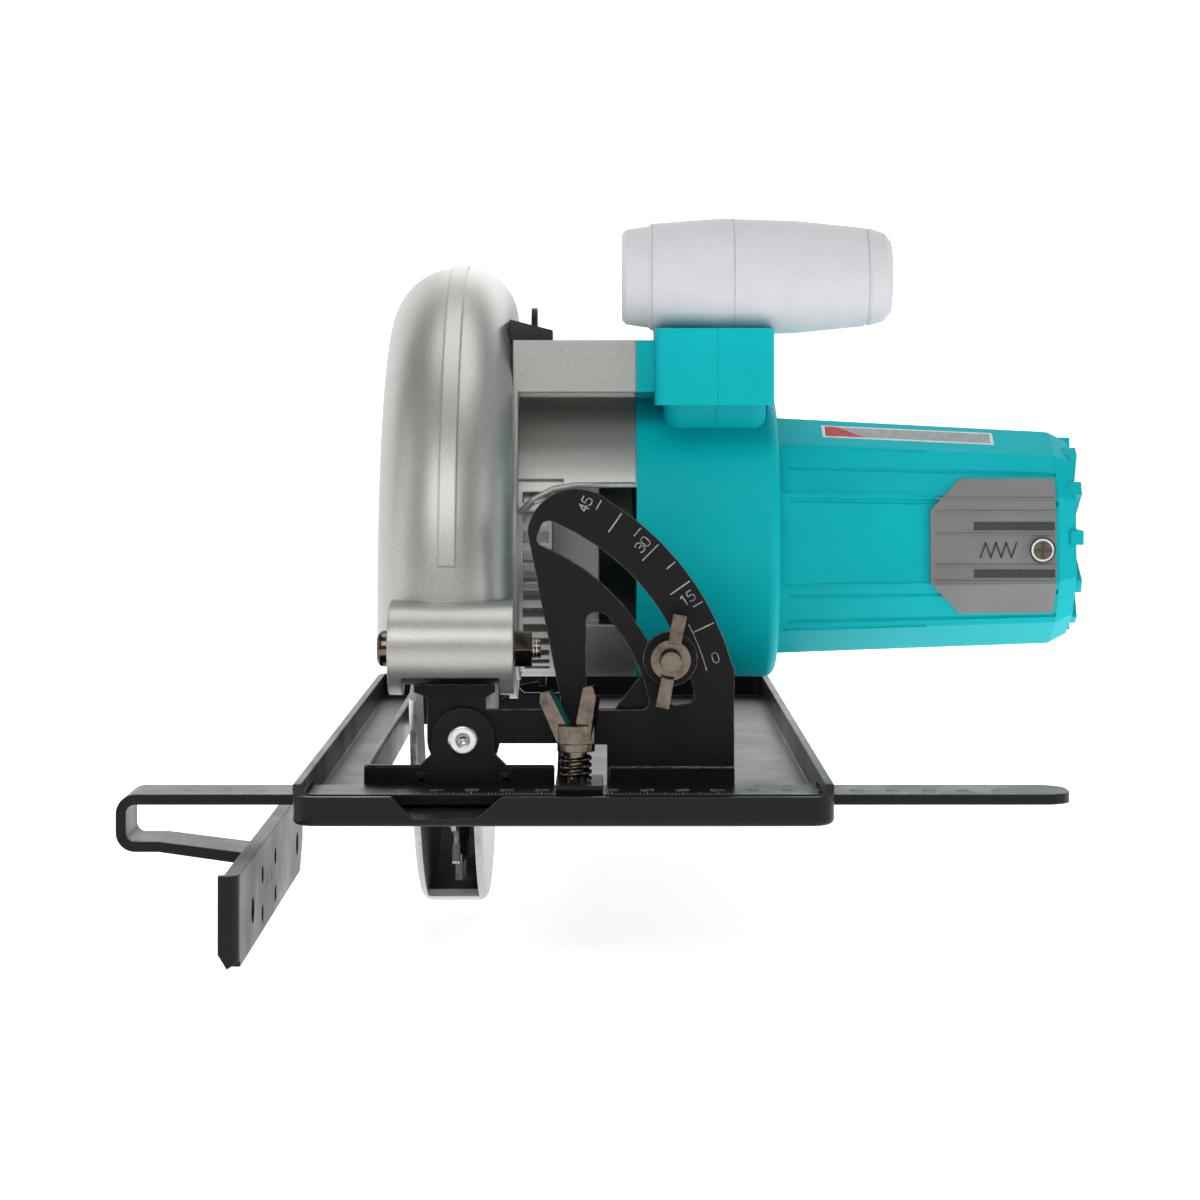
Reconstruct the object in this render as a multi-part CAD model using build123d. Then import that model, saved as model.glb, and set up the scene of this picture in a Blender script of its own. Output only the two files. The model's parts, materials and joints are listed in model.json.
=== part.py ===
from build123d import *
import math
import os

# Circular saw, millimetres.  +Z is up, Z = 0 is the underside of the sole plate.
# X = 0 is the middle of the sole and Y = 0 is 145 mm behind its front edge.
# The front of the saw is -Y, the motor is on the +X side.

# ---------------------------------------------------------------- driving dimensions
SHEET = 2.5                      # thickness of the pressed steel brackets
GAP = 0.3                        # working gap between pieces that move past each other
FIT = 0.05                       # radial clearance of a running fit

SOLE_WIDTH, SOLE_FRONT, SOLE_REAR = 150.0, -145.0, 200.0
SOLE_SHEET, FRONT_RIM, SIDE_RIM = 2.2, 8.2, 10.8
LIP_TOP = 11.4                   # turned-up edge of the blade opening
OPENING_LEFT, OPENING_RIGHT = -58.6, -3.0
OPENING_FRONT, OPENING_REAR = -96.5, 115.4

BEVEL_X, BEVEL_Z = -29.5, 18.8   # bevel pivot, an axis along Y
DEPTH_Y, DEPTH_Z = -96.0, 45.0   # depth pivot, an axis along X
BLADE_X, BLADE_Y, BLADE_Z = -34.5, 10.0, 54.0
BLADE_R, BLADE_BORE_R, BLADE_SHEET, BLADE_KERF = 92.5, 10.0, 1.6, 2.4
BLADE_TEETH = 24

GEAR_TEETH, PINION_TEETH, GEAR_MODULE = 35, 9, 1.25
CENTRE_DISTANCE = GEAR_MODULE * (GEAR_TEETH + PINION_TEETH) / 2
MOTOR_Z = 74.5
MOTOR_Y = BLADE_Y - math.sqrt(CENTRE_DISTANCE ** 2 - (MOTOR_Z - BLADE_Z) ** 2)

GUARD_LEFT, GUARD_RIGHT, GUARD_R, GUARD_WALL = -56.1, -16.4, 106.0, 2.6
GUARD_REAR_ANGLE, GUARD_FRONT_ANGLE = 20.0, 186.0
LOWER_LEFT, LOWER_RIGHT, LOWER_R, LOWER_WALL = -46.3, -25.4, 98.4, 2.4
LOWER_FRONT_ANGLE, LOWER_SPAN, MOUTH_ANGLE = 195.0, 177.0, 252.0
HUB_R = 20.0
LEVER_R, LEVER_ANGLE = 77.0, -2.0

HOOD_LEFT, HOOD_RIGHT, HOOD_R, HOOD_CHEEK = -51.0, -14.8, 13.4, 4.0
TUBE_R, PIVOT_BOLT_R = 10.4, 3.0

CASE_R, CASE_LEFT, CASE_RIGHT = 45.5, -15.0, 21.4
RING_RIGHT = 65.6
MOTOR_RIGHT, MOTOR_R_LEFT, MOTOR_R_RIGHT, MOTOR_WALL = 152.0, 38.0, 33.4, 2.7
MOTOR_LOW_LEFT, MOTOR_LOW_RIGHT = 38.6, 35.4   # the same radii below the motor axis
FACET_ANGLES = (22, 49, 76)

QUADRANT_R, SCALE_R, SLOT_MID_R = 81.0, 68.0, 64.5
QUADRANT_FRONT, QUADRANT_REAR = -99.0, -96.5
BEVEL_BOLT_ANGLE = 21.5

BAR_FRONT, BAR_REAR, BAR_BOTTOM, BAR_TOP = -123.2, -101.4, 3.2, 6.1
BAR_LEFT, BAR_RIGHT, BAR_LOW, BAR_CORNER = -126.4, 143.6, -10.1, 5.5
LEG_DROP = 3.5                   # the folded leg slopes down this much towards the fence
FENCE_FRONT, FENCE_REAR, FENCE_TOP, FENCE_BOTTOM = -186.0, -12.0, -7.0, -31.4
FENCE_FACE, FENCE_SHEET = -84.4, 2.4
SCREW_X, SCREW_Y = 3.3, -112.3

GUIDE_INNER_R, GUIDE_OUTER_R, GUIDE_LEFT, GUIDE_RIGHT = 190.0, 206.0, -13.4, -11.3
LOCK_ANGLE = 9.0

HANDLE_SPLIT = 45.8
GRIP_Y, GRIP_Z = -45.0, 155.0
HANDLE_OUTER = ((-42, 110), (-41, 146), (-20, 170), (40, 176), (92, 167), (122, 145), (131, 112),
                (118, 82), (84, 66), (25, 60), (-8, 86))
HANDLE_INNER = ((-16, 131), (-9, 146), (8, 150), (50, 150), (84, 142), (101, 124), (101, 106),
                (84, 93), (58, 89), (44, 98), (28, 116), (6, 126))
HANDLE_OUTER_FILLET, HANDLE_INNER_FILLET = 14.0, 8.0
HANDLE_SCREW_POINTS = ((-28, 128), (98, 155), (112, 80), (52, 78))
TRIGGER_LEFT, TRIGGER_RIGHT = 39.8, 51.8
TRIGGER_PIVOT = (7.0, 153.5)
BUTTON_Y, BUTTON_Z = -9.0, 158.0
GLAND_Z = 92.0

RIVET_XS = (BEVEL_X + 31.6, BEVEL_X + 49, BEVEL_X + 71)
FENCE_RIVETS = ((BAR_FRONT + 6.0, -18.5), (BAR_REAR - 6.0, -18.5))
SMALL_FENCE_HOLES = [(y, z) for y in (-128.0, -94.0) for z in (-15.5, -26.5)]
LARGE_FENCE_HOLES, LARGE_FENCE_HOLE_Z = (-152.0, -30.0), -21.5
BEARING_R, BEARING_LEFT, BEARING_RIGHT = 16.0, -27.4, -18.4
COVER_SCREW_X, COVER_SCREW_Z = 146.6, MOTOR_Z - 3.6
COVER_SCREW_STEPS = (32.8, 34.45, 35.65)      # shank end, head seat and head face, from the motor axis
COVER_SCREW_SLOT = (2.2, 0.4)                 # half length and half width of the cross recess
STATOR_LEFT, STATOR_RIGHT = 74.0, 114.0
GEAR_BACKLASH = 0.30
CENTRE_LINE = math.degrees(math.atan2(MOTOR_Z - BLADE_Z, MOTOR_Y - BLADE_Y))
GEAR_PHASE = CENTRE_LINE
PINION_PHASE = CENTRE_LINE + 180 + 180 / PINION_TEETH
# Grooves along the motor housing: angle from +Y, share of the corner radius.
HOUSING_GROOVES = ((18.7, 0.979), (36.5, 0.971), (-29.0, 0.979), (-44.0, 0.982))


# ---------------------------------------------------------------- helpers
def span_box(x0, x1, y0, y1, z0, z1):
    return Pos((x0 + x1) / 2, (y0 + y1) / 2, (z0 + z1) / 2) * Box(x1 - x0, y1 - y0, z1 - z0)


def rod_x(x0, x1, radius, y, z):
    return Pos((x0 + x1) / 2, y, z) * Rot(0, 90, 0) * Cylinder(radius, x1 - x0)


def rod_y(y0, y1, radius, x, z):
    return Pos(x, (y0 + y1) / 2, z) * Rot(90, 0, 0) * Cylinder(radius, y1 - y0)


def rod_z(z0, z1, radius, x, y):
    return Pos(x, y, (z0 + z1) / 2) * Cylinder(radius, z1 - z0)


def ring_x(x0, x1, outer, inner, y, z):
    return rod_x(x0, x1, outer, y, z) - rod_x(x0 - 1, x1 + 1, inner, y, z)


def outline(*points):
    return make_face(Polyline(*points, close=True))


def side_plate(face, x0, x1):
    """A face drawn in (Y, Z), made solid from X = x0 to X = x1."""
    return extrude(Plane.YZ.offset(x0) * face, x1 - x0)


def front_plate(face, y0, y1):
    """A face drawn in (X, Z), made solid from Y = y0 to Y = y1."""
    return extrude(Plane.XZ.offset(-y1) * face, y1 - y0)


def sector(inner, outer, start, end):
    """A flat ring sector about the origin, angles in degrees."""
    outer_arc = CenterArc((0, 0), outer, start, end - start)
    inner_arc = CenterArc((0, 0), inner, start, end - start)
    ends = [Line(outer_arc @ 1, inner_arc @ 1), Line(inner_arc @ 0, outer_arc @ 0)]
    return make_face([outer_arc, ends[0], inner_arc, ends[1]])


def polar(radius, degrees, centre=(0, 0)):
    turn = math.radians(degrees)
    return (centre[0] + radius * math.cos(turn), centre[1] + radius * math.sin(turn))


BLADE_CENTRE = (BLADE_Y, BLADE_Z)
RETAINER_POINTS = [polar(18, angle, BLADE_CENTRE) for angle in (30, 150, 270)]
CASE_SCREW_POINTS = [polar(43.6, angle, (MOTOR_Y, MOTOR_Z)) for angle in (35, 125, 235, 305)]


def blade_sector(x0, x1, inner, outer, start, end):
    """A ring sector about the blade axis."""
    return side_plate(Pos(BLADE_Y, BLADE_Z) * sector(inner, outer, start, end), x0, x1)


def hex_x(x0, x1, across_flats, y, z):
    return side_plate(Pos(y, z) * RegularPolygon(across_flats / 2, 6, major_radius=False), x0, x1)


def joined(solids):
    whole = solids[0]
    for solid in solids[1:]:
        whole = whole + solid
    return whole


def coil_z(x, y, z0, z1, radius, wire, turns):
    """A compression spring about a vertical axis."""
    pitch = (z1 - z0 - wire) / turns
    path = Pos(x, y, z0 + wire / 2) * Helix(pitch, pitch * turns, radius)
    section = Plane(origin=path @ 0, z_dir=path % 0) * Circle(wire / 2)
    return sweep(section, path=path)


def involute(angle):
    return math.tan(angle) - angle


def gear_face(teeth, tip_radius, root_radius, backlash):
    """An involute spur gear outline, 20 degree pressure angle."""
    pitch_radius = GEAR_MODULE * teeth / 2
    pressure = math.radians(20)
    base_radius = pitch_radius * math.cos(pressure)
    half_tooth = math.pi / 2 / teeth - backlash / 2 / pitch_radius + involute(pressure)
    flank = []
    for step in range(6):
        radius = root_radius + (tip_radius - root_radius) * step / 5
        cosine = min(1.0, base_radius / radius)
        flank.append((radius, half_tooth - involute(math.acos(cosine))))
    points = []
    for tooth in range(teeth):
        middle = 2 * math.pi * tooth / teeth
        for radius, half in flank:
            points.append(polar(radius, math.degrees(middle - half)))
        for radius, half in reversed(flank):
            points.append(polar(radius, math.degrees(middle + half)))
    return outline(*points)


# ---------------------------------------------------------------- base
def pivot_ear(y0, y1):
    """An ear that rises from the turned-up edge of the opening."""
    low = LIP_TOP - BEVEL_Z - 1
    foot = outline((-12.5, low), (-12.5, low + 1), (-9.1, -4), (-9.1, 0), (9.1, 0), (9.1, -4),
                   (12.5, low + 1), (12.5, low))
    ear = foot + Circle(9.1) - Circle(PIVOT_BOLT_R + FIT)
    return front_plate(Pos(BEVEL_X, BEVEL_Z) * ear, y0, y1)


def rounded_span(x0, x1, y0, y1, radius):
    """A plan rectangle whose two left corners are rounded."""
    face = outline((x0, y0), (x1, y0), (x1, y1), (x0, y1))
    return fillet(face.vertices().group_by(Axis.X)[0], radius)


def sole_plate():
    half_width, length = SOLE_WIDTH / 2, SOLE_REAR - SOLE_FRONT
    middle = Pos(0, (SOLE_FRONT + SOLE_REAR) / 2)
    plate = extrude(middle * RectangleRounded(SOLE_WIDTH, length, 7), SIDE_RIM)
    plate = fillet(plate.faces().sort_by(Axis.Z)[0].edges(), 1.8)
    inside = RectangleRounded(SOLE_WIDTH - 2 * SOLE_SHEET, length - 2 * SOLE_SHEET, 4.8)
    plate -= Pos(0, 0, SOLE_SHEET) * extrude(middle * inside, SIDE_RIM)
    front_step = outline((SOLE_FRONT - 1, FRONT_RIM), (SOLE_FRONT + 3, FRONT_RIM),
                         (SOLE_FRONT + 10, SIDE_RIM + 1), (SOLE_FRONT - 1, SIDE_RIM + 1))
    plate -= side_plate(front_step, -half_width - 1, half_width + 1)
    hole = rounded_span(OPENING_LEFT, OPENING_RIGHT, QUADRANT_FRONT, OPENING_REAR + SHEET, 5.0)
    clear = rounded_span(OPENING_LEFT + SOLE_SHEET, OPENING_RIGHT + 1, OPENING_FRONT, OPENING_REAR, 2.8)
    plate -= Pos(0, 0, -1) * extrude(hole, 20)
    lip = extrude(hole - clear, LIP_TOP)
    plate += fillet(lip.faces().sort_by(Axis.Z)[-1].edges(), 0.9)
    for y0, y1 in ((QUADRANT_FRONT, OPENING_FRONT), (OPENING_REAR, OPENING_REAR + SHEET)):
        plate += pivot_ear(y0, y1)
    notch = outline((-48.4, FRONT_RIM + 1), (-41.5, SOLE_SHEET), (-23.8, SOLE_SHEET), (-15.7, FRONT_RIM + 1))
    plate -= front_plate(notch, SOLE_FRONT - 1, SOLE_FRONT + 6)
    for side in (-1, 1):
        rim = side * (half_width - SOLE_SHEET / 2)
        plate -= span_box(rim - 3, rim + 3, BAR_FRONT - 1, BAR_REAR + 1, SOLE_SHEET + 0.4, BAR_TOP + 0.9)
    return plate


def bevel_quadrant():
    lobe_x, lobe_z, lobe_r = 32.8, 58.4, 14.4
    blank = sector(20, QUADRANT_R, 0, 60.6) + Pos(lobe_x, lobe_z) * Circle(lobe_r)
    blank += outline((18.6, 60), (28.1, 12.3), (27, -16.6), (78.6, -16.6), (78.6, 20.9), (60, 40), (34, 58))
    blank -= outline((0, 0), (28.1, 12.3), (18.6, 60), (10, 90), (0, 90))
    blank -= outline((0, 0), (28.1, 12.3), (27, -16.6), (0, -20))
    blank -= outline((78.6, 20.9), (78.6, -20), (100, -20), (100, 30))
    slot = fillet(sector(SLOT_MID_R - 3.9, SCALE_R + 0.2, 9, 70.0).vertices(), 2.4)
    window = (Circle(55) - Circle(1)) & outline((35.7, 8.7), (60, 8.7), (60, 36.8), (35.7, 36.8))
    face = blank - slot - fillet(window.vertices(), 2.4)
    face -= outline((36, -20), (36, -1.4), (41.7, -1.4), (41.7, -20))
    plate = front_plate(Pos(BEVEL_X, BEVEL_Z) * face, QUADRANT_FRONT, QUADRANT_REAR)
    for x0, x1 in ((27.2, 36), (41.7, 78.6)):
        plate += span_box(BEVEL_X + x0, BEVEL_X + x1, QUADRANT_FRONT, QUADRANT_REAR + 13,
                          SOLE_SHEET, SOLE_SHEET + SHEET)
    plate += span_box(BEVEL_X + 42.4, BEVEL_X + 78.6, QUADRANT_FRONT - 1.9, QUADRANT_FRONT, SOLE_SHEET, 11)
    for x in RIVET_XS:
        plate -= rod_z(0, 8, 2.6, x, QUADRANT_REAR + 7)
    return plate


def quadrant_rivets():
    y = QUADRANT_REAR + 7
    seat = SOLE_SHEET + SHEET
    return [rod_z(SOLE_SHEET, seat, 2.55, x, y) + rod_z(seat, seat + 1.6, 4.4, x, y) for x in RIVET_XS]


def bar_bridge():
    x0, x1 = SCREW_X - 5.7, SCREW_X + 7.7
    top = BAR_TOP + 2.6
    strap = span_box(x0, x1, BAR_FRONT - 2.3, BAR_REAR + 2.1, SOLE_SHEET, top)
    strap -= span_box(x0 - 1, x1 + 1, BAR_FRONT - GAP, BAR_REAR + GAP, SOLE_SHEET - 1, BAR_TOP + 0.4)
    strap = fillet(strap.edges().filter_by(Axis.X).group_by(Axis.Z)[-1], 1.2)
    return strap - rod_z(0, 20, PIVOT_BOLT_R + FIT, SCREW_X, SCREW_Y)


def screw_spring():
    return coil_z(SCREW_X, SCREW_Y, BAR_TOP + 2.7, 16.8, 4.0, 1.2, 3.5)


# ---------------------------------------------------------------- parallel guide
def bar_path_face():
    """Side profile of the guide bar in (X, Z): folded back under itself and down behind the fence."""
    thickness = BAR_TOP - BAR_BOTTOM
    fold_x, back = BAR_LEFT + 12, FENCE_FACE - FENCE_SHEET
    outer = outline((BAR_LEFT, BAR_LOW), (fold_x, BAR_LOW), (fold_x, BAR_TOP), (BAR_LEFT, BAR_TOP))
    inner = outline((BAR_LEFT + thickness, BAR_LOW + thickness), (fold_x + 1, BAR_LOW + thickness),
                    (fold_x + 1, BAR_BOTTOM), (BAR_LEFT + thickness, BAR_BOTTOM))
    outer = fillet(outer.vertices().group_by(Axis.X)[0], BAR_CORNER)
    inner = fillet(inner.vertices().group_by(Axis.X)[0], BAR_CORNER - thickness)
    upper = outline((fold_x, BAR_BOTTOM), (BAR_RIGHT, BAR_BOTTOM), (BAR_RIGHT, BAR_TOP), (fold_x, BAR_TOP))
    leg = outline((fold_x, BAR_LOW), (fold_x, BAR_LOW + thickness), (back, BAR_LOW + thickness - LEG_DROP),
                  (back, -26), (back - thickness, -26), (back - thickness, BAR_LOW - LEG_DROP))
    return (outer - inner) + upper + leg


def guide_bar():
    bar = front_plate(bar_path_face(), BAR_FRONT, BAR_REAR)
    corners = bar.edges().filter_by(Axis.Z).sort_by(Axis.X)[-2:]
    bar = fillet(corners, 8)
    for y, z in FENCE_RIVETS:
        bar -= rod_x(-110, -80, 2.05, y, z)
    return bar


def fence_plate():
    back = FENCE_FACE - FENCE_SHEET
    corner = 9.0
    face = outline((FENCE_FRONT, FENCE_TOP), (FENCE_FRONT, FENCE_BOTTOM), (FENCE_REAR - corner, FENCE_BOTTOM),
                   (FENCE_REAR, FENCE_BOTTOM + corner), (FENCE_REAR, FENCE_TOP))
    plate = side_plate(face, back, FENCE_FACE)
    plate += span_box(back - 1.6, back, FENCE_FRONT, FENCE_REAR, FENCE_TOP - FENCE_SHEET, FENCE_TOP)
    plate += span_box(back - 3.0, back, FENCE_FRONT, FENCE_FRONT + FENCE_SHEET, FENCE_BOTTOM, FENCE_TOP)
    plate = fillet(plate.edges().filter_by(Axis.Z).group_by(Axis.Y)[0].sort_by(Axis.X)[-1:], 3.6)
    tip = outline((back - 4, FENCE_BOTTOM - 1), (back - 4, FENCE_BOTTOM + 5.5), (back - 0.6, FENCE_BOTTOM),
                  (back - 0.6, FENCE_BOTTOM - 1))
    tip += outline((back - 0.6, FENCE_BOTTOM - 1), (back - 0.6, FENCE_BOTTOM),
                   (FENCE_FACE + 1, FENCE_BOTTOM + 2.4), (FENCE_FACE + 1, FENCE_BOTTOM - 1))
    plate -= front_plate(tip, FENCE_FRONT - 1, FENCE_FRONT + FENCE_SHEET + 2)
    for y, z in SMALL_FENCE_HOLES:
        plate -= rod_x(back - 1, FENCE_FACE + 1, 2.5, y, z)
    for y in LARGE_FENCE_HOLES:
        plate -= rod_x(back - 1, FENCE_FACE + 1, 3.6, y, LARGE_FENCE_HOLE_Z)
    for y, z in FENCE_RIVETS:
        plate -= rod_x(back - 1, FENCE_FACE + 1, 2.05, y, z)
    return plate


def fence_rivets():
    """Two flush rivets that hold the guide bar to the fence."""
    behind = FENCE_FACE - FENCE_SHEET - (BAR_TOP - BAR_BOTTOM)
    return [rod_x(behind, FENCE_FACE - 0.05, 2.0, y, z) + rod_x(behind - 1.4, behind, 3.6, y, z)
            for y, z in FENCE_RIVETS]


def wing_pair(spread, tip_height, root_height, thickness):
    """Two wings of a wing screw, drawn in the (X, Z) plane and standing up along +Z."""
    wing = outline((2.0, 0), (5.2, 0), (spread, tip_height - 3), (spread - 0.6, tip_height),
                   (spread - 3.6, tip_height), (1.6, root_height))
    pair = Sketch() + wing + mirror(wing, Plane.YZ)
    return extrude(Plane.XZ.offset(-thickness / 2) * pair, thickness)


def fence_wing_screw():
    shank = rod_z(BAR_TOP + 0.4, 20, PIVOT_BOLT_R, 0, 0)
    collar = rod_z(17.2, 19.4, 5.4, 0, 0)
    body = Pos(0, 0, 19.4) * extrude(RegularPolygon(5.0, 6, major_radius=False), 5.2)
    wings = Pos(0, 0, 19.8) * Rot(0, -9, 0) * wing_pair(9.0, 15.2, 5.4, 3.2)
    return Pos(SCREW_X, SCREW_Y, 0) * Rot(0, 0, -25) * (shank + collar + body + wings)


# ---------------------------------------------------------------- bevel carrier
def bevel_point(radius, degrees):
    return polar(radius, degrees, (BEVEL_X, BEVEL_Z))


def front_bevel_bracket():
    y0, y1 = QUADRANT_REAR + GAP, QUADRANT_REAR + GAP + 3.0
    bolt_x, bolt_z = polar(SLOT_MID_R, BEVEL_BOLT_ANGLE)
    upright = outline((-14.5, 30), (-14.5, 13.5), (-10.6, 12.0), (-10.6, 0), (6.6, 0), (6.6, 12.0),
                      (9.1, 13.5), (9.1, 30))
    band = outline((0, -1.4), (46, -1.4), (56, 4), (60, 16), (52, 19), (44, 8.5), (6.6, 8.5))
    face = upright + band + Circle(10.6) + Pos(bolt_x, bolt_z) * Circle(8.5)
    face = face - Circle(PIVOT_BOLT_R + FIT) - Pos(bolt_x, bolt_z) * Circle(PIVOT_BOLT_R + FIT)
    plate = front_plate(Pos(BEVEL_X, BEVEL_Z) * face, y0, y1)
    tube_left, tube_right = HOOD_LEFT + HOOD_CHEEK + 0.4, HOOD_RIGHT - HOOD_CHEEK - 0.4
    plate &= span_box(tube_left, 60, y0 - 1, y1 + 1, 0, DEPTH_Z)
    plate += rod_x(tube_left, tube_right, TUBE_R, DEPTH_Y, DEPTH_Z)
    return plate - rod_x(-60, 0, PIVOT_BOLT_R + FIT, DEPTH_Y, DEPTH_Z)


def bevel_pivot_rivets():
    front = rod_y(QUADRANT_FRONT, QUADRANT_REAR + GAP + 3.4, PIVOT_BOLT_R, BEVEL_X, BEVEL_Z)
    front += rod_y(QUADRANT_FRONT - 2.2, QUADRANT_FRONT, 4.4, BEVEL_X, BEVEL_Z)
    front = fillet(front.edges().filter_by(GeomType.CIRCLE).sort_by(Axis.Y)[:1], 0.9)
    front -= Pos(BEVEL_X, QUADRANT_FRONT - 2.8, BEVEL_Z) * Sphere(2.2)
    front += rod_y(QUADRANT_REAR + GAP + 3.4, QUADRANT_REAR + GAP + 4.8, 5.2, BEVEL_X, BEVEL_Z)
    rear = rod_y(OPENING_REAR - 3.8, OPENING_REAR + SHEET, PIVOT_BOLT_R, BEVEL_X, BEVEL_Z)
    rear += rod_y(OPENING_REAR + SHEET, OPENING_REAR + SHEET + 2.6, 5.4, BEVEL_X, BEVEL_Z)
    rear += rod_y(OPENING_REAR - 5.2, OPENING_REAR - 3.8, 4.6, BEVEL_X, BEVEL_Z)
    return [front, rear]


def depth_pivot_bolt():
    head = rod_x(HOOD_LEFT - 3.6, HOOD_LEFT - GAP, 5.2, DEPTH_Y, DEPTH_Z)
    head = fillet(head.edges().sort_by(Axis.X)[:1], 1.8)
    return head + rod_x(HOOD_LEFT - GAP, -7.0, PIVOT_BOLT_R, DEPTH_Y, DEPTH_Z)


def depth_pivot_nut():
    nut = hex_x(HOOD_RIGHT + GAP, HOOD_RIGHT + 5.2, 10, DEPTH_Y, DEPTH_Z)
    return nut - rod_x(-20, 0, PIVOT_BOLT_R + 0.02, DEPTH_Y, DEPTH_Z)


def bevel_bolt():
    x, z = bevel_point(SLOT_MID_R, BEVEL_BOLT_ANGLE)
    back = QUADRANT_REAR + GAP + 3.0
    return rod_y(-113.4, back, PIVOT_BOLT_R, x, z) + rod_y(back, back + 3.4, 6.5, x, z)


def rear_bevel_bracket():
    y1 = OPENING_REAR - 0.4
    reach = GUIDE_RIGHT - BEVEL_X
    face = Circle(10.4) + outline((-4, -7), (reach, -3), (reach, 11.5), (-2, 10.2))
    face -= Circle(PIVOT_BOLT_R + FIT)
    plate = front_plate(Pos(BEVEL_X, BEVEL_Z) * face, y1 - 3, y1)
    tab = outline((y1, 15.8), (y1, 30.3), (97.5, 30.3), (94.5, 27), (94.5, 15.8))
    tab_left = GUIDE_RIGHT
    return plate + side_plate(tab, tab_left, tab_left + SHEET)


def guide_sector(inner, outer, start, end):
    return Pos(DEPTH_Y, DEPTH_Z) * sector(inner, outer, start, end)


def depth_guide_strip():
    middle = (GUIDE_INNER_R + GUIDE_OUTER_R) / 2
    strip = guide_sector(GUIDE_INNER_R, GUIDE_OUTER_R, -7.2, 29)
    slot = Pos(DEPTH_Y, DEPTH_Z) * SlotArc(CenterArc((0, 0), middle, -4.6, 32.9), 6.7)
    tip = Pos(*polar(middle, 29, (DEPTH_Y, DEPTH_Z))) * Circle((GUIDE_OUTER_R - GUIDE_INNER_R) / 2)
    return side_plate(strip + tip - slot, GUIDE_LEFT, GUIDE_RIGHT)


def bevel_washer():
    x, z = bevel_point(SLOT_MID_R, BEVEL_BOLT_ANGLE)
    return rod_y(QUADRANT_FRONT - 1.9, QUADRANT_FRONT - GAP, 7.9, x, z) - rod_y(-120, -90, 3.06, x, z)


def bevel_wing_nut():
    x, z = bevel_point(SLOT_MID_R, BEVEL_BOLT_ANGLE)
    y = QUADRANT_FRONT - 1.9
    body = rod_y(y - 5.6, y, 5.8, 0, 0)
    wing = outline((-1.8, 3.6), (1.8, 3.6), (2.0, 13.6), (-2.0, 13.6))
    wings = front_plate(wing + mirror(wing, Plane.XZ), y - 9.4, y - 2.4)
    wings = wings - rod_y(y - 12, y - 5.6, 5.0, 0, 0)
    nut = body + wings - rod_y(-120, -90, PIVOT_BOLT_R + FIT, 0, 0)
    return Pos(x, 0, z) * Rot(0, 11, 0) * nut


# ---------------------------------------------------------------- upper guard and gear case
def guard_profile(inset):
    """Half section of the guard in (X, R): a domed channel, drawn from the blade axis out."""
    x0, x1, top = GUARD_LEFT + inset, GUARD_RIGHT - inset, GUARD_R - inset
    face = outline((x0, 0), (x1, 0), (x1, top), (x0, top))
    corners = face.vertices().group_by(Axis.Y)[-1].sort_by(Axis.X)
    face = fillet(corners[0], 20.5 - inset)
    corners = face.vertices().group_by(Axis.X)[-1].sort_by(Axis.Y)
    return fillet(corners[-1], 16.5 - inset)


def turned(face, start, end):
    """Turns an (X, R) face about the blade axis, from angle start to angle end."""
    plane = Plane(origin=(0, BLADE_Y, BLADE_Z), x_dir=(1, 0, 0), z_dir=(0, 0, 1))
    placed = plane * face
    axis = Axis((0, BLADE_Y, BLADE_Z), (1, 0, 0))
    return revolve(placed.rotate(axis, start), axis, end - start)


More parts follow.
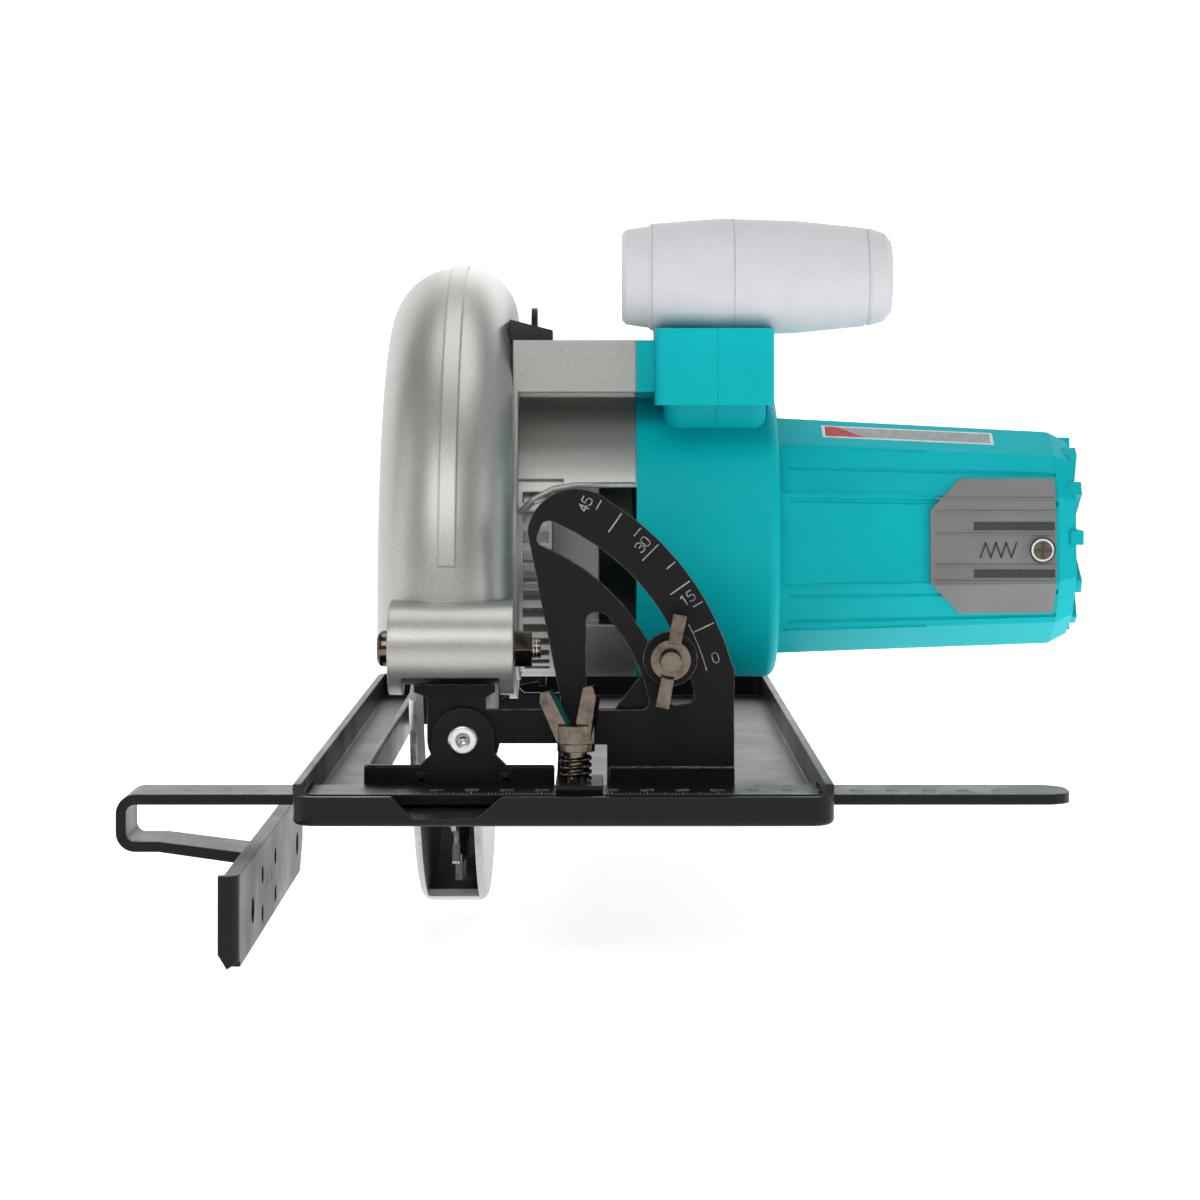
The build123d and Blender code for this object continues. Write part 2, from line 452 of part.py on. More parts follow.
def upper_guard():
    outer = guard_profile(0)
    shell = turned(outer - guard_profile(GUARD_WALL), GUARD_REAR_ANGLE, GUARD_FRONT_ANGLE)
    rib = outline((BLADE_X - 2.5, GUARD_R - 1.5), (BLADE_X + 2.5, GUARD_R - 1.5),
                  (BLADE_X + 2.5, GUARD_R + 0.8), (BLADE_X - 2.5, GUARD_R + 0.8))
    shell += turned(rib, GUARD_REAR_ANGLE, 172)
    shell -= blade_sector(GUARD_LEFT - 1, GUARD_LEFT + 8, 1, 64, -10, 200)
    wall_left = GUARD_RIGHT - GUARD_WALL
    shell -= blade_sector(wall_left - 1, GUARD_RIGHT + 1, LEVER_R - 5, LEVER_R + 5, 10, 110)
    shell += rod_x(wall_left, GUARD_RIGHT, 34, BLADE_Y, BLADE_Z)
    shell += rod_x(LOWER_RIGHT + GAP, wall_left, HUB_R + 4, BLADE_Y, BLADE_Z)
    shell += rod_x(LOWER_RIGHT - LOWER_WALL - 0.1, wall_left, HUB_R, BLADE_Y, BLADE_Z)
    lug = Pos(*lock_point()) * Circle(8.6)
    lug += outline(polar(84.5, 16, BLADE_CENTRE), polar(103, 12, BLADE_CENTRE), polar(103, 26, BLADE_CENTRE),
                   polar(84.5, 26, BLADE_CENTRE))
    shell += side_plate(lug, wall_left, GUARD_RIGHT + 2.4)
    shell -= rod_x(-40, 0, PIVOT_BOLT_R + 0.02, *lock_point())
    hood = rod_x(HOOD_LEFT, HOOD_RIGHT, HOOD_R, DEPTH_Y, DEPTH_Z)
    hood += span_box(HOOD_LEFT, HOOD_RIGHT, DEPTH_Y, DEPTH_Y + HOOD_R, DEPTH_Z - 11, DEPTH_Z + HOOD_R)
    shell += hood
    inner_left, inner_right = HOOD_LEFT + HOOD_CHEEK, HOOD_RIGHT - HOOD_CHEEK
    shell -= rod_x(inner_left, inner_right, TUBE_R + 0.5, DEPTH_Y, DEPTH_Z)
    shell -= span_box(inner_left, inner_right, DEPTH_Y - 16, DEPTH_Y + 24, 20, DEPTH_Z - 7.6)
    shell -= span_box(inner_left, inner_right, DEPTH_Y, DEPTH_Y + 24, 20, DEPTH_Z + 3)
    shell -= rod_x(-60, 0, PIVOT_BOLT_R + FIT, DEPTH_Y, DEPTH_Z)
    shell -= turned(outline((LOWER_LEFT - 1.5, 60), (LOWER_RIGHT + 1.5, 60),
                            (LOWER_RIGHT + 1.5, LOWER_R + 1.2), (LOWER_LEFT - 1.5, LOWER_R + 1.2)), 170, 215)
    shell -= spindle_bores()
    return shell.solids().sort_by(SortBy.VOLUME)[-1]


def spindle_bores():
    bore = rod_x(BEARING_LEFT - 1, BEARING_RIGHT, BEARING_R, BLADE_Y, BLADE_Z)
    bore += rod_x(BEARING_RIGHT - 1, -10, 12, BLADE_Y, BLADE_Z)
    for y, z in RETAINER_POINTS:
        bore += rod_x(-29, -22.5, 1.22, y, z)
    return bore


def lock_point():
    return polar((GUIDE_INNER_R + GUIDE_OUTER_R) / 2, LOCK_ANGLE, (DEPTH_Y, DEPTH_Z))


def gear_case():
    flange = Pos(BLADE_Y, BLADE_Z) * sector(2, 76, 114, 190)
    flange += outline((-50, 100), (-20, 100), (-20, 135.5), (-50, 135.5))
    flange += Pos(MOTOR_Y, MOTOR_Z) * Circle(CASE_R + 1.1) + Pos(BLADE_Y, BLADE_Z) * Circle(26.8)
    case = side_plate(flange, GUARD_RIGHT, CASE_LEFT)
    case += rod_x(CASE_LEFT, -1, 44, MOTOR_Y, MOTOR_Z) + rod_x(-1, CASE_RIGHT, CASE_R, MOTOR_Y, MOTOR_Z)
    case += rod_x(CASE_LEFT, -1, 26.8, BLADE_Y, BLADE_Z)
    case += span_box(CASE_LEFT, CASE_RIGHT, -50, -20, 119.6, 135.5)
    case += span_box(CASE_LEFT, CASE_RIGHT, -22, -12, 108, 121)
    case += side_plate(Pos(MOTOR_Y, MOTOR_Z) * sector(20, CASE_R, 40, 156), CASE_LEFT, -1)
    case -= span_box(-30, 0, DEPTH_Y - 20, DEPTH_Y + HOOD_R + 0.3, DEPTH_Z - 20, DEPTH_Z + HOOD_R + 0.3)
    case -= rod_x(10, CASE_RIGHT + 1, CASE_R - 3.2, MOTOR_Y, MOTOR_Z)
    case -= rod_x(-13, -3, 24.2, BLADE_Y, BLADE_Z) + rod_x(-13, -3, 8.2, MOTOR_Y, MOTOR_Z)
    case -= rod_x(-4, 11, 13, MOTOR_Y, MOTOR_Z) + rod_x(-19, -12, 9, BLADE_Y, BLADE_Z)
    case -= rod_x(-4, 6, 8, BLADE_Y, BLADE_Z)
    window = fillet(outline((-4.5, 48), (30, 48), (30, 90.5), (-4.5, 90.5)).vertices(), 4)
    case -= front_plate(window, MOTOR_Y - 50, MOTOR_Y - 19)
    case -= rod_y(24, 50, 4 + FIT, 4, MOTOR_Z)
    for y, z in CASE_SCREW_POINTS:
        case -= rod_x(12, CASE_RIGHT + 1, 1.62, y, z)
    fin_gap = span_box(CASE_LEFT + 1.6, -5.6, 40.5, 48, -1.7, 1.7)
    for angle in range(163, 252, 8):
        case -= Pos(0, MOTOR_Y, MOTOR_Z) * Rot(angle, 0, 0) * fin_gap
    return case


def spindle_bearing():
    ball_race = ring_x(BEARING_LEFT, BEARING_RIGHT, BEARING_R - 0.02, 7.5 + FIT, BLADE_Y, BLADE_Z)
    ball_race -= ring_x(BEARING_LEFT - 1, BEARING_LEFT + 0.6, 13.6, 9.8, BLADE_Y, BLADE_Z)
    bush = ring_x(-2.8, 5.9, 7.95, 5.0 + FIT, BLADE_Y, BLADE_Z)
    return [ball_race, bush]


def guard_retainer():
    x0 = LOWER_RIGHT - LOWER_WALL - GAP - 1.0
    plate = ring_x(x0, x0 + 1.0, 23.5, 10.5, BLADE_Y, BLADE_Z)
    for y, z in RETAINER_POINTS:
        plate -= rod_x(x0 - 1, x0 + 2, 1.3, y, z)
    return plate


def retainer_screws():
    x0 = LOWER_RIGHT - LOWER_WALL - GAP - 1.0
    return [rod_x(x0 - 0.35, x0, 2.4, y, z) + rod_x(x0, -23, 1.2, y, z) for y, z in RETAINER_POINTS]


def guard_spring():
    """Torsion spring wound closely round the hub of the guard."""
    rings = [Pos(x, BLADE_Y, BLADE_Z) * Rot(0, 90, 0) * Torus(26.0, 0.6) for x in (-24.2, -23.1, -22.0)]
    start = rod_z(BLADE_Z + 26, BLADE_Z + 33, 0.6, -24.2, BLADE_Y)
    return joined(rings + [start])


def chip_deflector():
    profile = outline((-17.6, 135.5), (-4.5, 135.5), (-4.5, 138.8), (-17.6, 142.1))
    return front_plate(profile, -40, -21) - turned(guard_profile(-0.2), 60, 150)


def depth_lock_bolt():
    y, z = lock_point()
    left = GUARD_RIGHT - GUARD_WALL
    head = rod_x(left - 3.0, left, 6.0, y, z)
    return head + rod_x(left, -1.5, PIVOT_BOLT_R, y, z)


# ---------------------------------------------------------------- motor unit
def facet_points(high_radius, low_radius):
    """Corners of the motor housing's section, anticlockwise from +Y."""
    above = list(FACET_ANGLES) + [180 - a for a in reversed(FACET_ANGLES)]
    return [polar(high_radius, a) for a in above] + [polar(low_radius, 180 + a) for a in above]


def taper(x, left, right):
    """A housing radius at X, between its values at the two ends of the housing."""
    return left + (right - left) * (x - RING_RIGHT) / (MOTOR_RIGHT - RING_RIGHT)


def faceted_cone(x0, x1, grow):
    """The twelve-sided tapering body of the motor housing, grown outward by a distance."""
    ends = []
    for x in (x0, x1):
        high = taper(x, MOTOR_R_LEFT, MOTOR_R_RIGHT) + grow
        low = taper(x, MOTOR_LOW_LEFT, MOTOR_LOW_RIGHT) + grow
        ends.append(Plane.YZ.offset(x) * Pos(MOTOR_Y, MOTOR_Z) * outline(*facet_points(high, low)))
    return loft(ends, ruled=True)


def front_housing():
    drum = rod_x(CASE_RIGHT, RING_RIGHT, CASE_R, MOTOR_Y, MOTOR_Z)
    drum = fillet(drum.edges().sort_by(Axis.X)[-1:], 3.5)
    boss = span_box(CASE_RIGHT, 27, -50, -20, 119.6, 135.5) + span_box(CASE_RIGHT, 27, -22, -12, 108, 121)
    drum += boss
    drum -= rod_x(CASE_RIGHT - 1, RING_RIGHT - 5, CASE_R - 3.2, MOTOR_Y, MOTOR_Z)
    drum -= rod_x(RING_RIGHT - 6, RING_RIGHT + 1, 33.6, MOTOR_Y, MOTOR_Z)
    for y, z in CASE_SCREW_POINTS:
        drum += rod_x(CASE_RIGHT, 30, 3.4, y, z) & rod_x(CASE_RIGHT, 40, CASE_R - 1, MOTOR_Y, MOTOR_Z)
        drum -= rod_x(CASE_RIGHT - 1, 31, 1.62, y, z)
    return drum


def motor_housing():
    shell = faceted_cone(RING_RIGHT, MOTOR_RIGHT, 0)
    shell -= faceted_cone(RING_RIGHT - 1, MOTOR_RIGHT + 1, -MOTOR_WALL)
    spigot = ring_x(RING_RIGHT - 4.5, RING_RIGHT + 0.5, 33.5, 31.6, MOTOR_Y, MOTOR_Z)
    collar = rod_x(RING_RIGHT, RING_RIGHT + 2.5, 34.5, MOTOR_Y, MOTOR_Z)
    collar -= rod_x(RING_RIGHT - 1, RING_RIGHT + 3, 31.6, MOTOR_Y, MOTOR_Z)
    shell += spigot + collar
    for groove_angle, share in HOUSING_GROOVES:
        left, right = (MOTOR_R_LEFT, MOTOR_R_RIGHT) if groove_angle > 0 else (MOTOR_LOW_LEFT, MOTOR_LOW_RIGHT)
        for angle in (groove_angle, 180 - groove_angle):
            start = Vector(RING_RIGHT + 3, *polar(left * share + 0.1, angle, (MOTOR_Y, MOTOR_Z)))
            finish = Vector(MOTOR_RIGHT + 1, *polar(right * share + 0.1, angle, (MOTOR_Y, MOTOR_Z)))
            run = Plane(origin=start, z_dir=finish - start)
            shell -= extrude(run * Circle(0.8), (finish - start).length)
    for side in (-1, 1):
        y = MOTOR_Y + side * 33
        shell -= span_box(120, 146, y - 8, y + 8, MOTOR_Z - 13, MOTOR_Z + 13)
    return shell


def rear_end_cap():
    ends = []
    for x, shrink in ((MOTOR_RIGHT, 0), (158.0, 3.2)):
        corners = facet_points(MOTOR_R_RIGHT - shrink, MOTOR_LOW_RIGHT - shrink)
        ends.append(Plane.YZ.offset(x) * Pos(MOTOR_Y, MOTOR_Z) * outline(*corners))
    cap = loft(ends, ruled=True)
    for angle in range(0, 360, 30):
        rib = Pos(0, MOTOR_Y, MOTOR_Z) * Rot(angle, 0, 0) * span_box(156, 160, 14, 30.6, -2.2, 2.2)
        cap += rib
    cap -= rod_x(MOTOR_RIGHT - 1, 155.5, 11.02, MOTOR_Y, MOTOR_Z)
    cap -= ring_x(MOTOR_RIGHT - 1, 156, 28.5, 14, MOTOR_Y, MOTOR_Z)
    for angle in range(15, 360, 30):
        cap -= Pos(0, MOTOR_Y, MOTOR_Z) * Rot(angle, 0, 0) * span_box(150, 165, 17, 27, -2.6, 2.6)
    return cap


def brush_covers():
    shell = faceted_cone(108, MOTOR_RIGHT - 0.6, 1.9) - faceted_cone(107, MOTOR_RIGHT + 1, 0.05)
    cut = 9.6
    z0, z1 = MOTOR_Z - 23.5, MOTOR_Z + 18.3
    octagon = outline((112, z0 + cut), (112 + cut, z0), (151, z0), (151, z1),
                      (112 + cut, z1), (112, z1 - cut))
    covers = []
    for side, screw_y in ((-1, MOTOR_Y - 45), (1, MOTOR_Y + 25)):
        prism = front_plate(octagon, MOTOR_Y + min(0, side * 50), MOTOR_Y + max(0, side * 50))
        cover = shell & prism
        cover -= rod_y(screw_y, screw_y + 20, 2.0, COVER_SCREW_X, COVER_SCREW_Z)
        covers.append(cover)
    return covers


def cover_screws():
    screws = []
    slot, half_slot = COVER_SCREW_SLOT
    x, z = COVER_SCREW_X, COVER_SCREW_Z
    for side in (-1, 1):
        inner, seat, face = [MOTOR_Y + side * distance for distance in COVER_SCREW_STEPS]
        head = rod_y(min(seat, face), max(seat, face), 3.8, x, z)
        shank = rod_y(min(inner, seat), max(inner, seat), 1.6, x, z)
        cross = span_box(x - slot, x + slot, face - 0.6, face + 0.6, z - half_slot, z + half_slot)
        cross += span_box(x - half_slot, x + half_slot, face - 0.6, face + 0.6, z - slot, z + slot)
        screws.append(head + shank - cross)
    return screws


def stator_core():
    core = ring_x(STATOR_LEFT, STATOR_RIGHT, 29.9, 20.9, MOTOR_Y, MOTOR_Z)
    for side in (-1, 1):
        pocket = ring_x(STATOR_LEFT - 1, STATOR_RIGHT + 1, 26.5, 20, MOTOR_Y, MOTOR_Z)
        y = MOTOR_Y + side * 20
        pocket &= span_box(STATOR_LEFT - 2, STATOR_RIGHT + 2, y - 12, y + 12, MOTOR_Z - 9, MOTOR_Z + 9)
        core -= pocket
    return core


def stator_windings():
    coils = []
    for side in (-1, 1):
        loop = ring_x(STATOR_LEFT - 6.0, STATOR_RIGHT + 6.0, 29.2, 21.2, MOTOR_Y, MOTOR_Z)
        z0, z1 = sorted((MOTOR_Z + side * 2, MOTOR_Z + side * 40))
        loop &= span_box(0, 200, MOTOR_Y - 40, MOTOR_Y + 40, z0, z1)
        loop -= ring_x(STATOR_LEFT - 0.1, STATOR_RIGHT + 0.1, 40, 26.3, MOTOR_Y, MOTOR_Z)
        loop -= span_box(STATOR_LEFT - 0.1, STATOR_RIGHT + 0.1, MOTOR_Y - 40, MOTOR_Y + 40,
                         *sorted((MOTOR_Z + side * 8.8, MOTOR_Z + side * 40)))
        coils.append(loop)
    return coils


def armature_shaft():
    pinion_tip = GEAR_MODULE * PINION_TEETH / 2 + 1.1 * GEAR_MODULE
    pinion_root = GEAR_MODULE * PINION_TEETH / 2 - 1.15 * GEAR_MODULE
    pinion = side_plate(gear_face(PINION_TEETH, pinion_tip, pinion_root, GEAR_BACKLASH), -12.6, -3.4)
    shaft = rod_x(-3.4, 147, 5.0, 0, 0) + rod_x(147, 154.2, 4.0, 0, 0)
    return Pos(0, MOTOR_Y, MOTOR_Z) * (Rot(PINION_PHASE, 0, 0) * pinion + shaft)


def spindle_gear():
    tip = GEAR_MODULE * GEAR_TEETH / 2 + 0.75 * GEAR_MODULE
    root = GEAR_MODULE * GEAR_TEETH / 2 - 1.25 * GEAR_MODULE
    wheel = side_plate(gear_face(GEAR_TEETH, tip, root, GEAR_BACKLASH), -12.2, -4.2)
    wheel -= rod_x(-20, 0, 7.02, 0, 0)
    for angle in range(0, 360, 60):
        wheel -= rod_x(-20, 0, 3.0, *polar(13.5, angle))
    return Pos(0, BLADE_Y, BLADE_Z) * Rot(GEAR_PHASE, 0, 0) * wheel


def armature_core():
    core = rod_x(76, 112, 20.2, MOTOR_Y, MOTOR_Z)
    for angle in range(0, 360, 30):
        core -= rod_x(75, 113, 1.4, *polar(19.4, angle, (MOTOR_Y, MOTOR_Z)))
    for x0, x1 in ((68, 76), (112, 120)):
        core += rod_x(x0, x1, 16.5, MOTOR_Y, MOTOR_Z)
    return core - rod_x(60, 130, 5.02, MOTOR_Y, MOTOR_Z)


def commutator():
    drum = ring_x(124, 141, 11.2, 5.02, MOTOR_Y, MOTOR_Z)
    for angle in range(0, 360, 15):
        drum -= Pos(0, MOTOR_Y, MOTOR_Z) * Rot(angle, 0, 0) * span_box(126, 142, 10.5, 12, -0.25, 0.25)
    return drum + ring_x(122.5, 124, 12.4, 5.02, MOTOR_Y, MOTOR_Z)


def cooling_fan():
    fan = ring_x(44, 46, 38, 5.02, MOTOR_Y, MOTOR_Z) + ring_x(30, 46, 9.5, 5.02, MOTOR_Y, MOTOR_Z)
    for angle in range(0, 360, 24):
        fan += Pos(0, MOTOR_Y, MOTOR_Z) * Rot(angle, 0, 0) * span_box(32, 44.5, 17, 37.5, -0.8, 0.8)
    return fan


def armature_bearings():
    front = ring_x(-1, 7, 12.98, 5.0 + FIT, MOTOR_Y, MOTOR_Z)
    rear = ring_x(147.4, 154.4, 11.0, 4.0 + FIT, MOTOR_Y, MOTOR_Z)
    front -= ring_x(6.4, 8, 11, 7, MOTOR_Y, MOTOR_Z)
    rear -= ring_x(146, 148, 9.2, 6, MOTOR_Y, MOTOR_Z)
    return [front, rear]


BRUSH_X = 132.5


def along_brush(side, near, far):
    return sorted((MOTOR_Y + side * near, MOTOR_Y + side * far))


def brush_holders():
    holders = []
    for side in (-1, 1):
        y0, y1 = along_brush(side, 13.2, 29.6)
        sleeve = span_box(BRUSH_X - 5.5, BRUSH_X + 5.5, y0, y1, MOTOR_Z - 6, MOTOR_Z + 6)
        sleeve -= span_box(BRUSH_X - 3.3, BRUSH_X + 3.3, y0 - 1, y1 + 1, MOTOR_Z - 4.3, MOTOR_Z + 4.3)
        holders.append(sleeve)
    return holders


def carbon_brushes():
    return [span_box(BRUSH_X - 3.2, BRUSH_X + 3.2, *along_brush(side, 11.5, 21), MOTOR_Z - 4.2, MOTOR_Z + 4.2)
            for side in (-1, 1)]


def brush_springs():
    coil = coil_z(0, 0, 0, 8.2, 2.2, 0.7, 5)
    front = Pos(BRUSH_X, MOTOR_Y - 21.1, MOTOR_Z) * Rot(90, 0, 0) * coil
    rear = Pos(BRUSH_X, MOTOR_Y + 21.1, MOTOR_Z) * Rot(-90, 0, 0) * coil
    return [front, rear]


# ---------------------------------------------------------------- spindle and blade
def blade():
    points = []
    pitch = 360 / BLADE_TEETH
    for tooth in range(BLADE_TEETH):
        start = tooth * pitch
        points += [polar(84.5, start), polar(BLADE_R - 0.4, start + 0.9), polar(BLADE_R - 1.8, start + 4.2),
                   polar(88.2, start + 7.5), polar(84.3, start + 11.2)]
    disc = outline(*points) - Circle(BLADE_BORE_R)
    for angle in range(0, 360, 90):
        disc -= Rot(0, 0, angle + 8) * Pos(80, 0) * SlotOverall(16, 1.2)
    steel = side_plate(disc, BLADE_X - BLADE_SHEET / 2, BLADE_X + BLADE_SHEET / 2)
    for tooth in range(BLADE_TEETH):
        tip = span_box(BLADE_X - BLADE_KERF / 2, BLADE_X + BLADE_KERF / 2, 86.5, BLADE_R, 0.0, 1.9)
        steel += Rot(tooth * pitch, 0, 0) * tip
    return Pos(0, BLADE_Y, BLADE_Z) * steel


def blade_flanges():
    seat = BLADE_X + BLADE_SHEET / 2
    inner = rod_x(seat, -29.8, 17, BLADE_Y, BLADE_Z) + rod_x(seat - 1.4, seat, 9.95, BLADE_Y, BLADE_Z)
    inner -= rod_x(-40, -20, 7.52, BLADE_Y, BLADE_Z)
    face = BLADE_X - BLADE_SHEET / 2
    outer = rod_x(face - 3.2, face, 17, BLADE_Y, BLADE_Z) - rod_x(-45, -30, 4.1, BLADE_Y, BLADE_Z)
    outer = fillet(outer.edges().filter_by(GeomType.CIRCLE).sort_by(Axis.X)[:1], 0.8)
    return [inner, outer]


def blade_bolt():
    seat = BLADE_X - BLADE_SHEET / 2 - 3.2
    head = hex_x(seat - 6.5, seat - 1.5, 13, BLADE_Y, BLADE_Z)
    head += rod_x(seat - 1.5, seat, 8.2, BLADE_Y, BLADE_Z)
    return head + rod_x(seat, -16, 3.95, BLADE_Y, BLADE_Z)


def spindle():
    shaft = rod_x(-33.9, -12.4, 7.5, BLADE_Y, BLADE_Z) + rod_x(-12.4, -3.4, 7.0, BLADE_Y, BLADE_Z)
    shaft += rod_x(-3.4, 5.4, 5.0, BLADE_Y, BLADE_Z)
    return shaft - rod_x(-40, -15, 4.0, BLADE_Y, BLADE_Z)


# ---------------------------------------------------------------- lower guard
def lower_guard():
    x0, x1, wall = LOWER_LEFT, LOWER_RIGHT, LOWER_WALL
    outer = outline((x0, 1), (x1, 1), (x1, LOWER_R), (x0, LOWER_R))
    outer = fillet(outer.vertices().group_by(Axis.Y)[-1], 3.2)
    inner = outline((x0 + wall, 0), (x1 - wall, 0), (x1 - wall, LOWER_R - wall), (x0 + wall, LOWER_R - wall))
    start, end = LOWER_FRONT_ANGLE, LOWER_FRONT_ANGLE + LOWER_SPAN
    shell = turned(outer - inner, start, end)
    shell -= blade_sector(x0 - 1, x0 + wall + 1, 0.5, 66, start - 5, end + 5)
    shell -= blade_sector(x0 + wall, x1 - wall, LOWER_R - 10, LOWER_R + 2, start - 5, MOUTH_ANGLE)
    shell += rod_x(x1 - wall, x1, 30, BLADE_Y, BLADE_Z)
    return shell - rod_x(x1 - 10, x1 + 1, HUB_R + FIT, BLADE_Y, BLADE_Z)


def guard_lever():
    face = Circle(3.5) + outline((-3.5, 0), (3.5, 0), (2.4, -9), (-2.4, -9))
    plate = side_plate(outline((-6, 6), (6, 6), (5, -11), (-5, -11)), LOWER_RIGHT, LOWER_RIGHT + 2.2)
    post = side_plate(face & outline((-3.6, 4), (3.6, 4), (3.6, -4.2), (-3.6, -4.2)), LOWER_RIGHT, -2.5)
    y, z = polar(LEVER_R, LEVER_ANGLE, (BLADE_Y, BLADE_Z))
    post = fillet(post.edges().group_by(Axis.X)[-1], 1.2)
    return Pos(0, y, z) * (plate + post)


# ---------------------------------------------------------------- handles
def handle_solid():
    outer = outline(*HANDLE_OUTER)
    outer = fillet(outer.vertices(), HANDLE_OUTER_FILLET)
    inner = fillet(outline(*HANDLE_INNER).vertices(), HANDLE_INNER_FILLET)
    bow = side_plate(outer - inner, 30, 61.6)
    bow = fillet(bow.faces().filter_by(Plane.YZ).edges(), 4.5)
    base = span_box(27, 63, -62, -20, 115.6, 139)
    base = fillet(base.edges().filter_by(Axis.Z), 2.5)
    solid = bow + base
    return solid


def handle_cavity():
    outer = offset(outline(*HANDLE_OUTER), -3.4)
    inner = offset(outline(*HANDLE_INNER), 3.4)
    room = side_plate(outer - inner, 33.4, 58.2)
    room &= span_box(20, 80, -24, 128, 60, 180) - rod_x(20, 80, CASE_R + 3.5, MOTOR_Y, MOTOR_Z)
    return room


def handle_shell():
    solid = handle_solid() - handle_cavity()
    solid -= rod_x(20, 80, CASE_R + 0.05, MOTOR_Y, MOTOR_Z)
    solid -= rod_x(10, 100, 18.2, GRIP_Y, GRIP_Z)
    solid -= rod_z(122, 150, 8.0, HANDLE_SPLIT, GRIP_Y)
    solid -= span_box(TRIGGER_LEFT - 0.5, TRIGGER_RIGHT + 0.5, 1.5, 49, 138, 158)
    solid -= rod_y(105, 140, 8.05, HANDLE_SPLIT, GLAND_Z)
    solid -= rod_x(20, 40, 5.05, BUTTON_Y, BUTTON_Z)
    solid -= rod_x(30, 62, 2.0, TRIGGER_PIVOT[0], TRIGGER_PIVOT[1])
    for y, z in HANDLE_SCREW_POINTS:
        solid -= rod_x(20, 80, 1.7, y, z)
        solid -= rod_x(59.4, 80, 3.6, y, z)
    return solid


def handle_half(x0, x1, post_left, post_right):
    posts = joined([rod_x(post_left, post_right, 4.0, y, z) - rod_x(20, 80, 1.7, y, z)
                    for y, z in HANDLE_SCREW_POINTS])
    return handle_shell() - span_box(x0, x1, -100, 200, 0, 200) + posts


def main_handle_left():
    return handle_half(HANDLE_SPLIT - 0.02, 90, 30.4, HANDLE_SPLIT - 0.02)


def main_handle_right():
    return handle_half(10, HANDLE_SPLIT + 0.02, HANDLE_SPLIT + 0.02, 59.4)


def case_screws():
    screws = [rod_x(59.4 - 24, 59.3, 1.6, y, z) + rod_x(59.4, 61.2, 3.2, y, z) + rod_x(59.2, 59.5, 1.6, y, z)
              for y, z in HANDLE_SCREW_POINTS]
    screws += [rod_x(13, 29.5, 1.6, y, z) for y, z in CASE_SCREW_POINTS]
    return screws


def aux_handle_core():
    core = rod_x(24, 93, 9.0, GRIP_Y, GRIP_Z)
    return core + rod_z(122.2, GRIP_Z, 7.9, HANDLE_SPLIT, GRIP_Y)


def aux_grip():
    stations = ((17, 0), (17, 13.3), (18.2, 14.6), (25, 15.6), (26, 16.4), (47, 18.0), (70, 17.3), (91, 15.2),
                (92, 14.7), (93, 15.0), (97.4, 13.6), (99.4, 11.2), (99.4, 0))
    face = outline(*[(x, r) for x, r in stations])
    plane = Plane(origin=(0, GRIP_Y, GRIP_Z), x_dir=(1, 0, 0), z_dir=(0, -1, 0))
    barrel = revolve(plane * face, Axis((0, GRIP_Y, GRIP_Z), (1, 0, 0)), 360)
    barrel -= rod_x(23.9, 93.1, 9.02, GRIP_Y, GRIP_Z)
    return barrel - rod_z(120, GRIP_Z, 8.0, HANDLE_SPLIT, GRIP_Y)


def trigger():
    face = outline((2.5, 149.5), (3, 158), (12, 160), (44, 158.5), (46.5, 151), (41, 141), (27, 137.5),
                   (12, 142))
    face = fillet(face.vertices(), 2)
    lever = side_plate(face, TRIGGER_LEFT, TRIGGER_RIGHT)
    return lever - rod_x(30, 62, 2.0 + FIT, *TRIGGER_PIVOT)


def trigger_pin():
    return rod_x(31, 60.5, 2.0 - 0.02, *TRIGGER_PIVOT)


def switch_module():
    body = span_box(38, 54, 51, 82, 154, 163)
    body += rod_y(48.6, 51, 1.8, HANDLE_SPLIT, 156)
    return body + span_box(42, 50, 82, 88, 154, 160)


def lock_button():
    button = rod_x(27.4, 35, 5.0, BUTTON_Y, BUTTON_Z) + rod_x(35, 36.5, 6.2, BUTTON_Y, BUTTON_Z)
    return fillet(button.edges().sort_by(Axis.X)[:1], 1.2)


def cord_gland():
    body = rod_y(108, 128, 8.0, HANDLE_SPLIT, GLAND_Z) + rod_y(105.5, 108, 9.4, HANDLE_SPLIT, GLAND_Z)
    sleeve = rod_y(128, 140, 6.6, HANDLE_SPLIT, GLAND_Z)
    return body + sleeve - rod_y(100, 145, 3.7, HANDLE_SPLIT, GLAND_Z)


def spindle_lock_button():
    button = rod_y(30, 41.6, 4.0, 4, MOTOR_Z) + rod_y(41.6, 45.6, 6.8, 4, MOTOR_Z)
    return fillet(button.edges().sort_by(Axis.Y)[-1:], 1.2)


def depth_lever():
    y, z = lock_point()
    face = Circle(8.4) + outline((-5.6, 0), (5.6, 0), (4.2, 34), (-4.2, 34)) + Pos(0, 34) * Circle(4.2)
    lever = side_plate(face, GUIDE_RIGHT + GAP, -5.6)
    lever += rod_x(-5.6, -3.0, 6.4, 0, 0)
    return Pos(0, y, z) * (lever - rod_x(-20, 0, PIVOT_BOLT_R + FIT, 0, 0))


